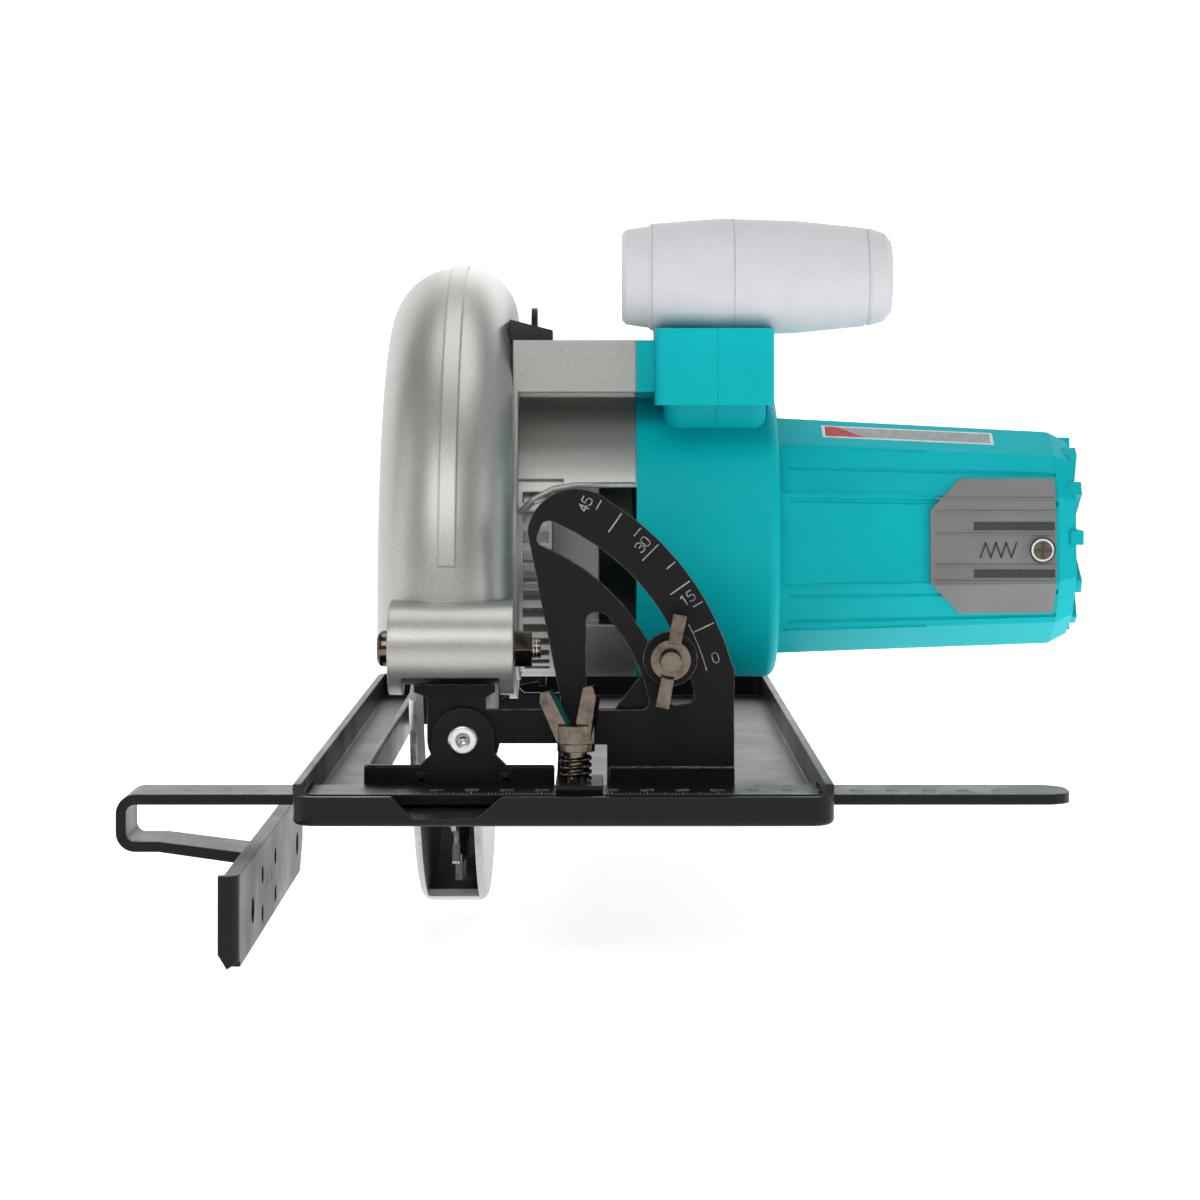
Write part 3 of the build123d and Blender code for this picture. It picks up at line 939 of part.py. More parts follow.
# ---------------------------------------------------------------- files
NODES = (
    sole_plate, bevel_quadrant, quadrant_rivets, bar_bridge, screw_spring, bevel_pivot_rivets,
    guide_bar, fence_plate, fence_rivets, fence_wing_screw,
    front_bevel_bracket, depth_pivot_bolt, depth_pivot_nut, bevel_bolt, rear_bevel_bracket,
    depth_guide_strip, bevel_washer, bevel_wing_nut,
    upper_guard, gear_case, front_housing, motor_housing, rear_end_cap, brush_covers, cover_screws,
    spindle_bearing, guard_retainer, retainer_screws, guard_spring, chip_deflector, depth_lock_bolt,
    stator_core, stator_windings, armature_bearings, brush_holders, carbon_brushes, brush_springs,
    main_handle_left, main_handle_right, case_screws, aux_handle_core, aux_grip, switch_module,
    cord_gland, trigger_pin,
    blade, blade_flanges, blade_bolt, spindle, spindle_gear,
    armature_shaft, armature_core, commutator, cooling_fan,
    lower_guard, guard_lever, trigger, lock_button, spindle_lock_button, depth_lever,
)

os.makedirs("parts", exist_ok=True)
for make in NODES:
    made = make()
    solids = made if isinstance(made, list) else [made]
    flat = [solid for shape in solids for solid in shape.solids()]
    export_step(Compound(children=flat), f"parts/{make.__name__}.step")
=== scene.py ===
import json
import math
import bpy
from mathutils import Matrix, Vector


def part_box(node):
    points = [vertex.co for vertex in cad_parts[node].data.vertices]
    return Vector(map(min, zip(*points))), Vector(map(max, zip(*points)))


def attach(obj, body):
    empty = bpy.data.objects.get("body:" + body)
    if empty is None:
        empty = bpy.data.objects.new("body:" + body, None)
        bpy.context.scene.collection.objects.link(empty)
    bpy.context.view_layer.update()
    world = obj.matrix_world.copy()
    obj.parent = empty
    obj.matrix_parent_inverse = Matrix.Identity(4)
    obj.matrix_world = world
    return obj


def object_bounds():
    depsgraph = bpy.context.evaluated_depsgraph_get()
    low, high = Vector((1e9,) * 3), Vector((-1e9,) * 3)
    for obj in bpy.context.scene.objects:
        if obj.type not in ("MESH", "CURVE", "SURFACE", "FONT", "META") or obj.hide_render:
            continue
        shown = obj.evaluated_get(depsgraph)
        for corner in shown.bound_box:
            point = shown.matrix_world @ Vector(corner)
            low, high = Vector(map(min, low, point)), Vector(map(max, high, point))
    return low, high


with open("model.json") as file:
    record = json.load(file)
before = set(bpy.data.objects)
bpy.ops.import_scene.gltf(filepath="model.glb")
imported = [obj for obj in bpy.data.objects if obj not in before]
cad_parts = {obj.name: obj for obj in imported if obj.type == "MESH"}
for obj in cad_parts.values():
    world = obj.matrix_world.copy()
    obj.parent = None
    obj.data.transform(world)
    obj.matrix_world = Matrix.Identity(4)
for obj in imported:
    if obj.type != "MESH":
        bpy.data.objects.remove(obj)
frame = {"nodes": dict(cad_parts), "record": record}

MM = 0.001
MARK_HEIGHT = 0.05               # printed marks stand this much above their surface, mm
FOOT_STEP = 1.9                  # the quadrant's foot stands this much in front of its scale face, mm
MOTOR_LEFT, MOTOR_RIGHT, HIGH_RADII, LOW_RADII = 65.6, 152.0, (38.0, 33.4), (38.6, 35.4)
COVER_GROWTH = 1.8               # the brush covers stand this much outside the housing
RIDGE_END = 112.0                # the ridges stop at the brush covers
CASE_RADIUS = 45.3
DIMPLE_REACH, DIMPLE_DROP = 12.2, -10.6       # from the bevel pivot to the ear's two raised dimples
cad_low, cad_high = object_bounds()
scene = bpy.context.scene


# ------------------------------------------------------------------ node helpers
class Shader:
    """A small wrapper that builds one material's node tree."""

    def __init__(self, name):
        self.material = bpy.data.materials.new(name)
        self.material.use_nodes = True
        self.tree = self.material.node_tree
        self.tree.nodes.clear()
        self.output = self.add("ShaderNodeOutputMaterial")
        self.shader = self.add("ShaderNodeBsdfPrincipled")
        self.link(self.shader.outputs[0], self.output.inputs[0])
        self.place = self.add("ShaderNodeTexCoord").outputs["Object"]

    def add(self, kind, **values):
        node = self.tree.nodes.new(kind)
        for key, value in values.items():
            setattr(node, key, value)
        return node

    def link(self, source, target):
        self.tree.links.new(source, target)

    def set(self, **values):
        for key, value in values.items():
            socket = self.shader.inputs[key.replace("_", " ")]
            if isinstance(value, bpy.types.NodeSocket):
                self.link(value, socket)
            else:
                socket.default_value = value
        return self

    def stretched(self, scale):
        node = self.add("ShaderNodeMapping")
        node.inputs["Scale"].default_value = scale
        self.link(self.place, node.inputs["Vector"])
        return node.outputs[0]

    def noise(self, scale, detail=3.0, rough=0.55, where=None):
        node = self.add("ShaderNodeTexNoise")
        node.inputs["Scale"].default_value = scale
        node.inputs["Detail"].default_value = detail
        node.inputs["Roughness"].default_value = rough
        self.link(where or self.place, node.inputs["Vector"])
        return node.outputs["Fac"]

    def cells(self, scale):
        node = self.add("ShaderNodeTexVoronoi")
        node.inputs["Scale"].default_value = scale
        self.link(self.place, node.inputs["Vector"])
        split = self.add("ShaderNodeSeparateColor")
        self.link(node.outputs["Color"], split.inputs[0])
        return split.outputs[0]

    def bands(self, scale, direction="X", where=None):
        node = self.add("ShaderNodeTexWave", bands_direction=direction)
        node.inputs["Scale"].default_value = scale
        self.link(where or self.place, node.inputs["Vector"])
        return node.outputs["Fac"]

    def span(self, value, low, high, from_low=0.0, from_high=1.0):
        node = self.add("ShaderNodeMapRange")
        self.link(value, node.inputs["Value"])
        limits = {"From Min": from_low, "From Max": from_high, "To Min": low, "To Max": high}
        for key, number in limits.items():
            node.inputs[key].default_value = number
        return node.outputs[0]

    def blend(self, share, one, other):
        node = self.add("ShaderNodeMix", data_type="RGBA")
        sockets = [s for s in node.inputs if s.enabled]
        for socket, value in zip(sockets, (share, one, other)):
            if isinstance(value, bpy.types.NodeSocket):
                self.link(value, socket)
            else:
                socket.default_value = value if isinstance(value, float) else (*value, 1.0)
        return [s for s in node.outputs if s.enabled][0]

    def sum(self, one, other, operation="ADD"):
        node = self.add("ShaderNodeMath", operation=operation)
        for socket, value in zip(node.inputs, (one, other)):
            if isinstance(value, bpy.types.NodeSocket):
                self.link(value, socket)
            else:
                socket.default_value = value
        return node.outputs[0]

    def edges(self, radius, low=0.02, high=0.22):
        """1 along the sharp edges of the shape, 0 on its faces."""
        rounded = self.add("ShaderNodeBevel", samples=4)
        rounded.inputs["Radius"].default_value = radius
        plain = self.add("ShaderNodeNewGeometry")
        dot = self.add("ShaderNodeVectorMath", operation="DOT_PRODUCT")
        self.link(rounded.outputs[0], dot.inputs[0])
        self.link(plain.outputs["Normal"], dot.inputs[1])
        return self.span(dot.outputs["Value"], 1.0, 0.0, 1.0 - high, 1.0 - low)

    def bump(self, height, strength, distance, soft_edge=0.0):
        node = self.add("ShaderNodeBump")
        node.inputs["Strength"].default_value = strength
        node.inputs["Distance"].default_value = distance
        self.link(height, node.inputs["Height"])
        if soft_edge:
            rounded = self.add("ShaderNodeBevel", samples=4)
            rounded.inputs["Radius"].default_value = soft_edge
            self.link(rounded.outputs[0], node.inputs["Normal"])
        self.link(node.outputs[0], self.shader.inputs["Normal"])
        return self


# ------------------------------------------------------------------ materials
def black_enamel():
    s = Shader("black_enamel")
    smudge = s.noise(38, 5, 0.6)
    peel = s.noise(520, 2, 0.4)
    dust = s.span(s.noise(1900, 2), 0.0, 1.0, 0.66, 0.74)
    base = s.blend(s.span(smudge, 0.0, 0.35), (0.009, 0.009, 0.011), (0.022, 0.021, 0.027))
    base = s.blend(s.sum(dust, 0.15, "MULTIPLY"), base, (0.12, 0.12, 0.13))
    # painted highlight: the enamel turns lighter grey along the sharp edges, where light would catch them
    base = s.blend(s.span(s.edges(0.0006), 0.0, 0.30), base, (0.25, 0.25, 0.27))
    s.set(Base_Color=base, Roughness=s.span(smudge, 0.26, 0.38, 0.3, 0.7), Metallic=0.0,
          Specular_IOR_Level=0.12)
    return s.bump(s.sum(peel, smudge), 0.16, 0.0006, 0.0007).material


def black_satin():
    s = Shader("black_satin")
    cloud = s.noise(60, 4)
    grain = s.noise(2400, 2)
    wear = s.sum(s.edges(0.00045), s.span(s.noise(260, 4), 0.25, 1.0, 0.38, 0.62), "MULTIPLY")
    base = s.blend(s.span(cloud, 0.0, 1.0), (0.005, 0.005, 0.005), (0.011, 0.011, 0.011))
    base = s.blend(wear, base, (0.52, 0.52, 0.50))
    s.set(Base_Color=base, Roughness=s.span(cloud, 0.36, 0.50, 0.3, 0.7), Metallic=s.span(wear, 0.0, 0.7),
          Specular_IOR_Level=0.15)
    return s.bump(grain, 0.12, 0.0002, 0.0004).material


def silver_paint():
    s = Shader("silver_paint")
    flake = s.cells(4200)
    fleck = s.noise(5200, 2)
    cloud = s.noise(45, 4)
    base = s.blend(s.span(flake, 0.0, 1.0), (0.40, 0.395, 0.375), (0.54, 0.54, 0.52))
    base = s.blend(s.span(fleck, 0.0, 0.35, 0.40, 0.66), base, (0.29, 0.285, 0.27))
    base = s.blend(s.span(cloud, 0.0, 0.12, 0.35, 0.65), base, (0.35, 0.345, 0.33))
    s.set(Base_Color=base, Metallic=0.72, Roughness=s.span(flake, 0.32, 0.46))
    return s.bump(s.sum(fleck, flake), 0.10, 0.00012, 0.0009).material


def teal_plastic():
    s = Shader("teal_plastic")
    grain = s.noise(1500, 3)
    cloud = s.noise(30, 4)
    base = s.blend(s.span(cloud, 0.0, 1.0, 0.3, 0.7), (0.0, 0.42, 0.47), (0.0, 0.47, 0.52))
    base = s.blend(s.span(grain, 0.0, 0.30, 0.45, 0.70), base, (0.0, 0.54, 0.58))
    # painted highlight: lighter teal along the sharp edges, where light would catch them
    base = s.blend(s.span(s.edges(0.0006), 0.0, 0.35), base, (0.02, 0.62, 0.66))
    s.set(Base_Color=base, Roughness=s.span(grain, 0.40, 0.56, 0.3, 0.7),
          Specular_IOR_Level=0.12)
    return s.bump(grain, 0.16, 0.00022, 0.0006).material


def grey_rubber():
    s = Shader("grey_rubber")
    grain = s.noise(2100, 3)
    scuff = s.noise(85, 6, 0.7)
    base = s.blend(s.span(scuff, 0.0, 1.0, 0.3, 0.7), (0.60, 0.60, 0.635), (0.66, 0.66, 0.685))
    base = s.blend(s.span(grain, 0.0, 0.22, 0.5, 0.75), base, (0.50, 0.50, 0.53))
    s.set(Base_Color=base, Roughness=s.span(scuff, 0.58, 0.72), Sheen_Weight=0.12, Sheen_Roughness=0.5)
    return s.bump(grain, 0.25, 0.00022, 0.0006).material


def grey_plastic():
    s = Shader("grey_plastic")
    grain = s.noise(1700, 3)
    cloud = s.noise(50, 4)
    base = s.blend(s.span(cloud, 0.0, 1.0, 0.3, 0.7), (0.175, 0.178, 0.175), (0.215, 0.218, 0.215))
    # painted highlight: lighter grey along the sharp edges, where light would catch them
    base = s.blend(s.span(s.edges(0.0005), 0.0, 0.35), base, (0.36, 0.36, 0.36))
    s.set(Base_Color=base, Roughness=s.span(grain, 0.42, 0.58, 0.3, 0.7))
    return s.bump(grain, 0.2, 0.0002, 0.0005).material


def black_plastic():
    s = Shader("black_plastic")
    grain = s.noise(1700, 3)
    cloud = s.noise(50, 4)
    base = s.blend(s.span(cloud, 0.0, 1.0, 0.3, 0.7), (0.012, 0.012, 0.013), (0.026, 0.026, 0.027))
    s.set(Base_Color=base, Roughness=s.span(grain, 0.38, 0.56, 0.3, 0.7))
    return s.bump(grain, 0.22, 0.0002, 0.0005).material


def plated(name, dark, light, rough_low, rough_high, stain):
    """Bright plated steel with faint staining and tiny pits."""
    s = Shader(name)
    cloud = s.noise(210, 5, 0.65)
    pits = s.noise(1900, 2)
    base = s.blend(s.span(cloud, 0.0, 1.0, 0.34, 0.66), dark, light)
    base = s.blend(s.span(pits, 0.0, 0.35, 0.60, 0.75), base, stain)
    s.set(Base_Color=base, Metallic=1.0, Roughness=s.span(cloud, rough_low, rough_high, 0.3, 0.7))
    return s.bump(s.sum(pits, cloud), 0.08, 0.0002, 0.0004).material


def brushed(name, dark, light, scale, rough=(0.24, 0.40)):
    """Ground steel or alloy with fine directional lines."""
    s = Shader(name)
    lines = s.noise(1.0, 3, 0.6, s.stretched(scale))
    cloud = s.noise(40, 4)
    base = s.blend(s.span(lines, 0.0, 1.0, 0.3, 0.7), dark, light)
    base = s.blend(s.span(cloud, 0.0, 0.12, 0.4, 0.7), base, tuple(c * 0.7 for c in dark))
    s.set(Base_Color=base, Metallic=0.95, Roughness=s.span(lines, rough[0], rough[1], 0.3, 0.7))
    return s.bump(lines, 0.10, 0.00015, 0.0003).material


def laminated():
    s = Shader("laminated_steel")
    sheets = s.bands(1600, "X")
    cloud = s.noise(90, 4)
    base = s.blend(s.span(sheets, 0.0, 1.0), (0.10, 0.10, 0.105), (0.30, 0.30, 0.31))
    base = s.blend(s.span(cloud, 0.0, 0.4, 0.4, 0.7), base, (0.08, 0.06, 0.05))
    s.set(Base_Color=base, Metallic=0.85, Roughness=s.span(cloud, 0.35, 0.55))
    return s.bump(sheets, 0.3, 0.0002).material


def wound_copper():
    s = Shader("wound_copper")
    wires = s.bands(700, "DIAGONAL")
    cloud = s.noise(150, 4)
    base = s.blend(s.span(wires, 0.0, 1.0), (0.30, 0.10, 0.04), (0.78, 0.36, 0.18))
    s.set(Base_Color=base, Metallic=0.8, Roughness=s.span(cloud, 0.25, 0.45), Coat_Weight=0.4)
    return s.bump(wires, 0.5, 0.0004).material


def carbon():
    s = Shader("carbon")
    grain = s.noise(900, 4)
    base = s.blend(grain, (0.012, 0.012, 0.012), (0.05, 0.05, 0.05))
    s.set(Base_Color=base, Roughness=s.span(grain, 0.6, 0.8))
    return s.bump(grain, 0.3, 0.0002).material


def printed(name, fresh, worn):
    """Thin printed ink, a little rubbed in places; the dark one also serves as painted shade."""
    s = Shader(name)
    rub = s.noise(420, 5, 0.65)
    base = s.blend(s.span(rub, 0.0, 1.0, 0.40, 0.66), fresh, worn)
    s.set(Base_Color=base, Roughness=s.span(rub, 0.40, 0.58))
    return s.bump(rub, 0.08, 0.00008).material


MATERIALS = {
    "black_enamel": black_enamel(),
    "black_satin": black_satin(),
    "silver_paint": silver_paint(),
    "teal_plastic": teal_plastic(),
    "grey_rubber": grey_rubber(),
    "grey_plastic": grey_plastic(),
    "black_plastic": black_plastic(),
    "nickel": plated("nickel", (0.07, 0.055, 0.04), (0.18, 0.15, 0.12), 0.10, 0.22, (0.06, 0.04, 0.03)),
    "zinc": plated("zinc", (0.55, 0.55, 0.53), (0.86, 0.86, 0.84), 0.20, 0.38, (0.30, 0.29, 0.26)),
    "steel": brushed("steel", (0.30, 0.30, 0.30), (0.46, 0.46, 0.455), (900, 60, 60)),
    "guard_alloy": brushed("guard_alloy", (0.40, 0.40, 0.405), (0.62, 0.62, 0.625), (60, 500, 500),
                           (0.30, 0.48)),
    "bearing_steel": brushed("bearing_steel", (0.55, 0.55, 0.56), (0.80, 0.80, 0.80), (900, 90, 90),
                             (0.12, 0.22)),
    "electrical_steel": laminated(),
    "copper": wound_copper(),
    "brass": plated("brass", (0.50, 0.36, 0.14), (0.80, 0.62, 0.30), 0.22, 0.40, (0.20, 0.12, 0.05)),
    "carbon": carbon(),
}
WHITE_PRINT = printed("white_print", (0.78, 0.78, 0.76), (0.62, 0.62, 0.60))
SCALE_PRINT = printed("scale_print", (0.42, 0.42, 0.41), (0.20, 0.20, 0.20))
GREY_PRINT = printed("grey_print", (0.36, 0.37, 0.38), (0.28, 0.29, 0.30))
RED_PRINT = printed("red_print", (0.55, 0.02, 0.02), (0.42, 0.02, 0.02))
SEAM_GREY = printed("seam_grey", (0.50, 0.50, 0.52), (0.42, 0.42, 0.44))
# dark ink for the coil print, also used as painted shade for the cover's recesses and the screw's cross
# recess
DARK_PRINT_AND_SHADE = printed("dark_print_and_painted_shade", (0.045, 0.045, 0.046), (0.028, 0.028, 0.03))

slot_of = {s["node"]: s["material_slot"] for s in frame["record"]["subparts"]}
slot_of["fence_rivets"] = "black_enamel"      # painted over together with the fence
for name, node in frame["nodes"].items():
    node.data.materials.clear()
    node.data.materials.append(MATERIALS[slot_of[name]])


# ------------------------------------------------------------------ small pieces
class Plane:
    """A flat drawing surface: (u, v) in mm along right and up from an origin, with a height above it."""

    def __init__(self, origin, right, up):
        self.origin = Vector(origin)
        self.right = Vector(right).normalized()
        self.up = Vector(up).normalized()
        self.out = self.right.cross(self.up)

    def at(self, u, v, height=0.0):
        return self.origin + (self.right * u + self.up * v + self.out * height) * MM


class Piece:
    """Collects closed prisms and tubes into one mesh."""

    def __init__(self):
        self.points = []
        self.faces = []

    def prism(self, corners, plane, depth, sunk=0.03):
        start, count = len(self.points), len(corners)
        for height in (-sunk, depth):
            self.points += [plane.at(u, v, height) for u, v in corners]
        self.faces.append([start + i for i in reversed(range(count))])
        self.faces.append([start + count + i for i in range(count)])
        for i in range(count):
            after = (i + 1) % count
            self.faces.append([start + i, start + after, start + count + after, start + count + i])

    def stroke(self, path, plane, width, depth):
        """A drawn line of constant width through (u, v) points."""
        for (u0, v0), (u1, v1) in zip(path, path[1:]):
            length = math.hypot(u1 - u0, v1 - v0)
            along = ((u1 - u0) / length * width / 2, (v1 - v0) / length * width / 2)
            side = (-along[1], along[0])
            ends = ((u0 - along[0], v0 - along[1]), (u1 + along[0], v1 + along[1]))
            (a, b), (c, d) = ends
            corners = [(a - side[0], b - side[1]), (c - side[0], d - side[1]),
                       (c + side[0], d + side[1]), (a + side[0], b + side[1])]
            self.prism(corners, plane, depth)

    def digits(self, text, plane, place, height, turn, width=0.32, depth=0.05):
        """Digits centred on place (u, v); turn is the reading direction in degrees."""
        step, cosine, sine = height * 0.80, math.cos(math.radians(turn)), math.sin(math.radians(turn))
        shift = -(step * (len(text) - 1) + height * 0.6) / 2
        for index, digit in enumerate(text):
            for path in DIGITS[digit]:
                drawn = []
                for x, y in path:
                    across, rise = shift + index * step + x * height, (y - 0.5) * height
                    drawn.append((place[0] + across * cosine - rise * sine,
                                  place[1] + across * sine + rise * cosine))
                self.stroke(drawn, plane, width, depth)

    def tube(self, path, radius, sides=8, closed=False):
        """A round rod through 3-D points in metres; its ends are closed unless it is a loop."""
        start, count = len(self.points), len(path)
        for index, here in enumerate(path):
            before = path[index - 1] if index or closed else here
            after = path[(index + 1) % count] if index < count - 1 or closed else here
            ahead = (after - before).normalized()
            side = ahead.orthogonal().normalized()
            if index:
                side = (last - ahead * last.dot(ahead)).normalized()
            last = side
            over = ahead.cross(side)
            for k in range(sides):
                turn = 2 * math.pi * k / sides
                self.points.append(here + (side * math.cos(turn) + over * math.sin(turn)) * radius * MM)
        for index in range(count if closed else count - 1):
            for k in range(sides):
                a, b = start + index * sides, start + (index + 1) % count * sides
                self.faces.append([a + k, a + (k + 1) % sides, b + (k + 1) % sides, b + k])
        if not closed:
            self.faces.append([start + k for k in reversed(range(sides))])
            self.faces.append([start + (count - 1) * sides + k for k in range(sides)])

    def place(self, name, body, slot, material, smooth=False):
        mesh = bpy.data.meshes.new(name)
        mesh.from_pydata(self.points, [], self.faces)
        mesh.polygons.foreach_set("use_smooth", [smooth] * len(self.faces))
        mesh.materials.append(material)
        piece = bpy.data.objects.new(name, mesh)
        scene.collection.objects.link(piece)
        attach(piece, body)
        return piece


DIGITS = {
    "0": [[(0, .2), (0, .8), (.15, 1), (.45, 1), (.6, .8), (.6, .2), (.45, 0), (.15, 0), (0, .2)]],
    "1": [[(.1, .8), (.35, 1), (.35, 0)]],
    "2": [[(0, .8), (.15, 1), (.45, 1), (.6, .8), (.6, .6), (0, 0), (.6, 0)]],
    "3": [[(0, .9), (.15, 1), (.45, 1), (.6, .85), (.6, .65), (.45, .53), (.6, .38), (.6, .15), (.45, 0),
           (.15, 0), (0, .1)], [(.2, .53), (.45, .53)]],
    "4": [[(.45, 0), (.45, 1), (0, .3), (.6, .3)]],
    "5": [[(.55, 1), (.05, 1), (0, .55), (.4, .6), (.6, .45), (.6, .15), (.45, 0), (.1, 0), (0, .1)]],
    "6": [[(.5, 1), (.2, .9), (0, .5), (0, .2), (.15, 0), (.45, 0), (.6, .2), (.6, .4), (.45, .55),
           (.15, .55), (0, .4)]],
    "7": [[(0, 1), (.6, 1), (.2, 0)]],
    "8": [[(.3, .53), (.1, .68), (.1, .86), (.25, 1), (.4, 1), (.55, .86), (.55, .68), (.3, .53), (0, .34),
           (0, .15), (.15, 0), (.45, 0), (.6, .15), (.6, .34), (.3, .53)]],
    "9": [[(.1, 0), (.4, .1), (.6, .5), (.6, .8), (.45, 1), (.15, 1), (0, .8), (0, .6), (.15, .45),
           (.45, .45), (.6, .6)]],
}


def middle(node):
    low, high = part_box(node)
    return (Vector(low) + Vector(high)) / 2


def ring_path(centre, radius, axis="X", count=64):
    """A circle of points in metres about a centre, radius in mm."""
    path = []
    for k in range(count):
        turn = 2 * math.pi * k / count
        a, b = radius * MM * math.cos(turn), radius * MM * math.sin(turn)
        offset = {"X": (0, a, b), "Y": (a, 0, b), "Z": (a, b, 0)}[axis]
        path.append(Vector(centre) + Vector(offset))
    return path


def helix(start, end, radius, pitch, per_turn=20):
    """Thread crests from start to end, both in metres; radius and pitch in mm."""
    start, end = Vector(start), Vector(end)
    ahead = (end - start).normalized()
    side = ahead.orthogonal().normalized()
    over = ahead.cross(side)
    steps = int((end - start).length / MM / pitch * per_turn)
    path = []
    for k in range(steps + 1):
        turn = 2 * math.pi * k / per_turn
        outward = side * math.cos(turn) + over * math.sin(turn)
        path.append(start.lerp(end, k / steps) + outward * radius * MM)
    return path


def polar(radius, degrees):
    return (radius * math.cos(math.radians(degrees)), radius * math.sin(math.radians(degrees)))


def quadrant_scale():
    """Angle ticks, the numbers 45, 30, 15 and 0, and the index line on the bevel quadrant."""
    pivot = middle("bevel_pivot_rivets")
    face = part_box("bevel_quadrant")[0][1] + FOOT_STEP * MM
    plane = Plane((pivot.x, face, pivot.z), (1, 0, 0), (0, 0, 1))
    marks = Piece()
    for angle in range(25, 65, 5):
        inner = 73.6 if angle % 10 == 5 else 77.2
        marks.stroke([polar(inner, angle), polar(80.0, angle)], plane, 0.34, MARK_HEIGHT)
    for text, angle in (("45", 62.6), ("30", 47.4), ("15", 32.3), ("0", 18.0)):
        marks.digits(text, plane, polar(76.9, angle), 2.9, angle)
    marks.stroke([polar(73.4, 27 - step) for step in range(0, 12)], plane, 0.3, MARK_HEIGHT)
    marks.place("quadrant_scale", "base", "zinc", SCALE_PRINT)


def bar_ruler():
    """Millimetre ticks along the front edge of the guide bar, and a centimetre number at each long one."""
    low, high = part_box("guide_bar")
    plane = Plane((low[0], low[1], high[2]), (1, 0, 0), (0, 1, 0))
    ticks, numbers = Piece(), Piece()
    length = int((high[0] - low[0]) / MM) - 14
    for place in range(8, length):
        reach = 5.6 if place % 10 == 0 else 4.2 if place % 5 == 0 else 2.6
        ticks.stroke([(place, 0.5), (place, reach)], plane, 0.24, MARK_HEIGHT)
    for tens in range(1, length // 10 + 1):
        numbers.digits(str(tens), plane, (tens * 10, 9.4), 3.6, 90, 0.3, MARK_HEIGHT)
    ticks.place("bar_ticks", "guide", "zinc", SCALE_PRINT)
    numbers.place("bar_numbers", "guide", "zinc", SCALE_PRINT)


def housing_corner(x, angle):
    """A corner of the motor housing's section at X, angle from +Y in degrees, in metres."""
    left, right = LOW_RADII if angle > 180 else HIGH_RADII
    radius = left + (right - left) * (x - MOTOR_LEFT) / (MOTOR_RIGHT - MOTOR_LEFT)
    axis = middle("armature_core")
    y, z = polar(radius * MM, angle)
    return Vector((x * MM, axis.y + y, axis.z + z))


def facet_plane(x, low_angle, high_angle):
    """The motor housing's facet between two corners: u along the housing, v up the facet."""
    low, high = housing_corner(x, low_angle), housing_corner(x, high_angle)
    ahead = (housing_corner(x + 10, low_angle) + housing_corner(x + 10, high_angle) - low - high).normalized()
    rise = (high - low).normalized()
    return Plane((low + high) / 2, ahead, rise - ahead * rise.dot(ahead))


def motor_label():
    """A blank panel with a white border and a red corner on the motor housing's upper front facet."""
    plane = facet_plane(107, 131, 104)
    white, grey, red = Piece(), Piece(), Piece()
    white.prism([(-27, -2.4), (27, -2.4), (27, 5.2), (-27, 5.2)], plane, 0.12)
    grey.prism([(-26, -1.6), (26, -1.6), (26, 4.4), (-26, 4.4)], plane, 0.15)
    red.prism([(-26, -1.6), (-14, -1.6), (-22, 4.4), (-26, 4.4)], plane, 0.18)
    white.place("label_border", "saw_body", "grey_rubber", WHITE_PRINT)
    grey.place("label_panel", "saw_body", "grey_plastic", GREY_PRINT)
    red.place("label_corner", "saw_body", "grey_rubber", RED_PRINT)


def brush_cover_marks():
    """Ridges, two dark bands of painted shade standing for recesses, and a coil mark on the front brush
    cover.
    """
    plane = facet_plane(131, 202, 158)
    plane.origin += plane.out * COVER_GROWTH * MM
    recess_shade, ridges, coil = Piece(), Piece(), Piece()
    # painted shade: two dark bands laid over the cover where its recesses fall into shade
    for v in (4.0, -10.6):
        recess_shade.prism([(-5.6, v - 1.3), (19.5, v - 1.3), (19.5, v + 1.3), (-5.6, v + 1.3)], plane, 0.08)
    for v in (8.4, 12.4, -13.2, 1.5, -8.2):
        ridges.stroke([(-17, v), (19.5, v)], plane, 0.5, 0.45)
    wave = [(-3.6 + step * 1.6, -3.4 + (2.2 if step % 2 else -2.2)) for step in range(8)]
    coil.stroke(wave, plane, 0.5, 0.16)
    recess_shade.place("cover_recess_shade", "saw_body", "black_plastic", DARK_PRINT_AND_SHADE)
    ridges.place("cover_ridges", "saw_body", "grey_plastic", MATERIALS["grey_plastic"])
    coil.place("cover_coil", "saw_body", "black_plastic", DARK_PRINT_AND_SHADE)


def cover_screw_marks():
    """A dark cross of painted shade for the cross recess, and the dark washer ring, of the brush cover screw.
    """
    spot = middle("cover_screws")
    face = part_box("cover_screws")[0][1] - 0.02 * MM
    plane = Plane((spot.x, face, spot.z), (1, 0, 0), (0, 0, 1))
    marks = Piece()
    recess = Piece()
    recess.prism([polar(2.9, 360 * k / 32) for k in range(32)], plane, 0.04)
    recess.place("cover_screw_recess", "saw_body", "steel", MATERIALS["nickel"])
    # painted shade: a dark cross where the screw's cross recess lies in shade
    marks.stroke([(-2.1, 0), (2.1, 0)], plane, 0.9, 0.09)
    marks.stroke([(0, -2.1), (0, 2.1)], plane, 0.9, 0.10)
    marks.tube(ring_path((spot.x, face + 0.1 * MM, spot.z), 3.75, "Y", 40), 0.3, 6, True)
    marks.place("cover_screw_marks", "saw_body", "black_plastic", DARK_PRINT_AND_SHADE)


def motor_ridges():
    """Fine moulded ridges along the corners of the motor housing."""
    ridges = Piece()
    for angle in (49, 131, 158, 202, 229, 311):
        ends = [housing_corner(x, angle) for x in (MOTOR_LEFT + 2, RIDGE_END)]
        ridges.tube(ends, 0.42, 6)
    ridges.place("motor_ridges", "saw_body", "teal_plastic", MATERIALS["teal_plastic"])


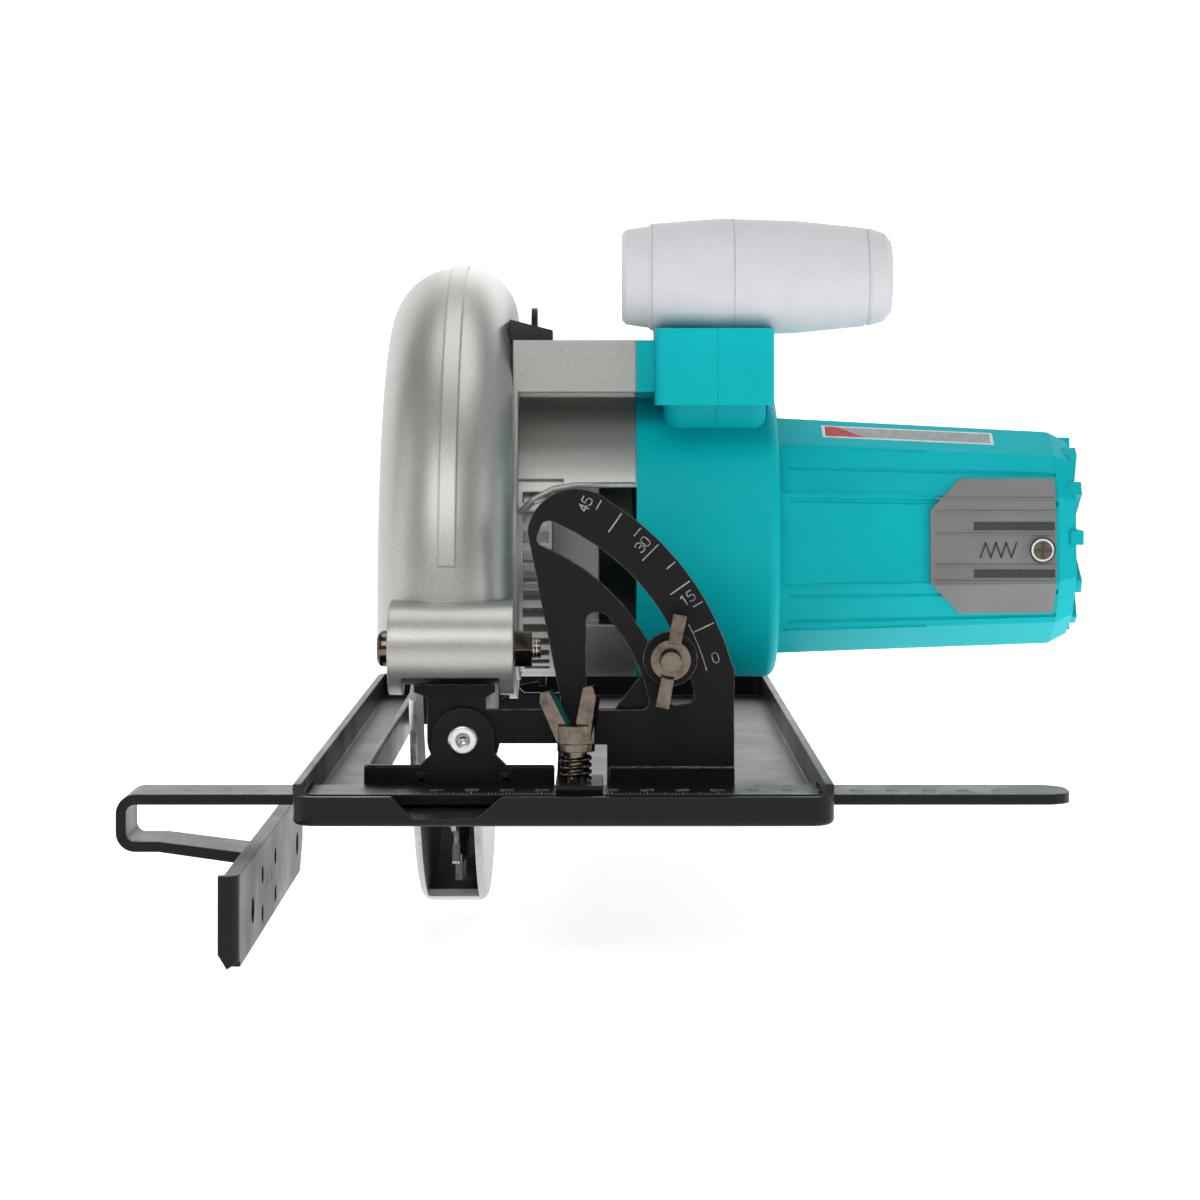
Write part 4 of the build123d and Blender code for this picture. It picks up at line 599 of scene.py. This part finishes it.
def grip_seams():
    """Fine seam rings round the front grip."""
    centre = middle("aux_grip")
    seams = Piece()
    for x, radius in ((26.0, 16.35), (51.0, 17.85), (92.0, 14.7)):
        seams.tube(ring_path((x * MM, centre.y, centre.z), radius), 0.2, 6, True)
    seams.place("grip_seams", "saw_body", "grey_rubber", SEAM_GREY, True)


def exhaust_lip():
    """A raised curved lip over the exhaust window of the gear case."""
    axis = middle("armature_core")
    corners = ((21.0, 91.2), (3.0, 91.2), (-4.0, 90.0), (-10.2, 86.9), (-14.2, 82.9))
    path = []
    for x, z in corners:
        rise = z * MM - axis.z
        y = axis.y - math.sqrt((CASE_RADIUS * MM) ** 2 - rise ** 2)
        path.append(Vector((x * MM, y, z * MM)))
    lip = Piece()
    lip.tube(path, 0.9, 10)
    lip.place("exhaust_lip", "saw_body", "silver_paint", MATERIALS["silver_paint"], True)


def threads():
    """Thread crests on the end of the depth pivot bolt and on the guide screw inside its spring."""
    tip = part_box("depth_pivot_bolt")[1][0]
    centre = middle("depth_pivot_bolt")
    crest = Piece()
    ends = [(tip - inset * MM, centre.y, centre.z) for inset in (5.6, 0.6)]
    crest.tube(helix(*ends, 2.95, 1.0), 0.28, 6)
    crest.place("pivot_thread", "bevel_carrier", "zinc", MATERIALS["zinc"], True)
    spot = middle("screw_spring")
    low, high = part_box("screw_spring")
    screw = Piece()
    ends = [(spot.x, spot.y, low[2] + 0.4 * MM), (spot.x, spot.y, high[2] - 0.4 * MM)]
    screw.tube(helix(*ends, 2.7, 1.0), 0.26, 6)
    screw.place("wing_screw_thread", "guide_screw", "nickel", MATERIALS["nickel"], True)


def ear_dimples():
    """Two small raised pyramids on the foot of the front pivot ear."""
    pivot = middle("bevel_pivot_rivets")
    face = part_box("bevel_quadrant")[0][1] + FOOT_STEP * MM
    plane = Plane((pivot.x, face, pivot.z), (1, 0, 0), (0, 0, 1))
    dimples = Piece()
    for u in (-DIMPLE_REACH, DIMPLE_REACH):
        start = len(dimples.points)
        corners = ((-1.6, -1.3), (1.6, -1.3), (1.6, 1.3), (-1.6, 1.3))
        dimples.points += [plane.at(u + across, DIMPLE_DROP + rise, -0.02) for across, rise in corners]
        dimples.points.append(plane.at(u, DIMPLE_DROP, 0.9))
        dimples.faces.append([start + 3, start + 2, start + 1, start])
        for k in range(4):
            dimples.faces.append([start + k, start + (k + 1) % 4, start + 4])
    dimples.place("ear_dimples", "base", "black_enamel", MATERIALS["black_enamel"])


quadrant_scale()
bar_ruler()
motor_label()
brush_cover_marks()
cover_screw_marks()
motor_ridges()
grip_seams()
exhaust_lip()
threads()
ear_dimples()


# ------------------------------------------------------------------ studio
def floor():
    """A pale floor that curves up into a back wall."""
    size, drop = 40.0, cad_low.z - 0.0002
    mesh = bpy.data.meshes.new("studio_floor")
    rise, steps, radius, back = 2.5, 16, 1.2, 2.2
    rows = [(-size, drop)]
    for step in range(steps + 1):
        turn = math.pi / 2 * step / steps
        rows.append((back + radius * math.sin(turn), drop + radius * (1 - math.cos(turn))))
    rows.append((back + radius, drop + rise + radius))
    points = [(x, y, z) for y, z in rows for x in (-size, size)]
    faces = [(2 * i, 2 * i + 1, 2 * i + 3, 2 * i + 2) for i in range(len(rows) - 1)]
    mesh.from_pydata(points, [], faces)
    mesh.polygons.foreach_set("use_smooth", [True] * len(faces))
    backdrop = bpy.data.objects.new("studio_floor", mesh)
    scene.collection.objects.link(backdrop)
    s = Shader("studio_white")
    s.set(Base_Color=(0.93, 0.93, 0.935, 1.0), Roughness=0.9, Emission_Color=(1, 1, 1, 1),
          Emission_Strength=0.80)
    mesh.materials.append(s.material)


def area_light(name, place, target, size, power):
    data = bpy.data.lights.new(name, "AREA")
    data.shape = "RECTANGLE"
    data.size, data.size_y = size
    data.energy = power
    lamp = bpy.data.objects.new(name, data)
    lamp.location = place
    lamp.rotation_euler = (Vector(target) - Vector(place)).to_track_quat("-Z", "Y").to_euler()
    scene.collection.objects.link(lamp)


def studio():
    world = bpy.data.worlds.new("studio")
    scene.world = world
    world.use_nodes = True
    world.node_tree.nodes["Background"].inputs[0].default_value = (1, 1, 1, 1)
    world.node_tree.nodes["Background"].inputs[1].default_value = 0.16
    middle = (0.02, 0.0, 0.06)
    area_light("key", (-0.35, -1.5, 1.15), middle, (1.0, 0.8), 10)
    area_light("top", (0.1, 0.1, 1.6), middle, (1.4, 1.0), 9)
    area_light("right", (1.4, -0.7, 0.5), middle, (0.7, 1.1), 3)
    area_light("left", (-1.5, -0.3, 0.6), middle, (0.7, 1.1), 3)
    area_light("back", (0.3, 1.6, 1.0), middle, (1.2, 0.8), 3)
    floor()
    scene.view_settings.view_transform = "Standard"


def camera():
    """A level camera in front of the saw at the height of its gear case, looking along +Y."""
    data = bpy.data.cameras.new("camera")
    data.sensor_width = 36.0
    data.lens = 91.0
    data.shift_x, data.shift_y = 0.0025, -0.1708
    data.dof.use_dof = False
    view = bpy.data.objects.new("camera", data)
    view.location = (0.0093, -0.978, 0.1187)
    view.rotation_euler = (math.pi / 2, 0, 0)
    scene.collection.objects.link(view)
    scene.camera = view


studio()
camera()
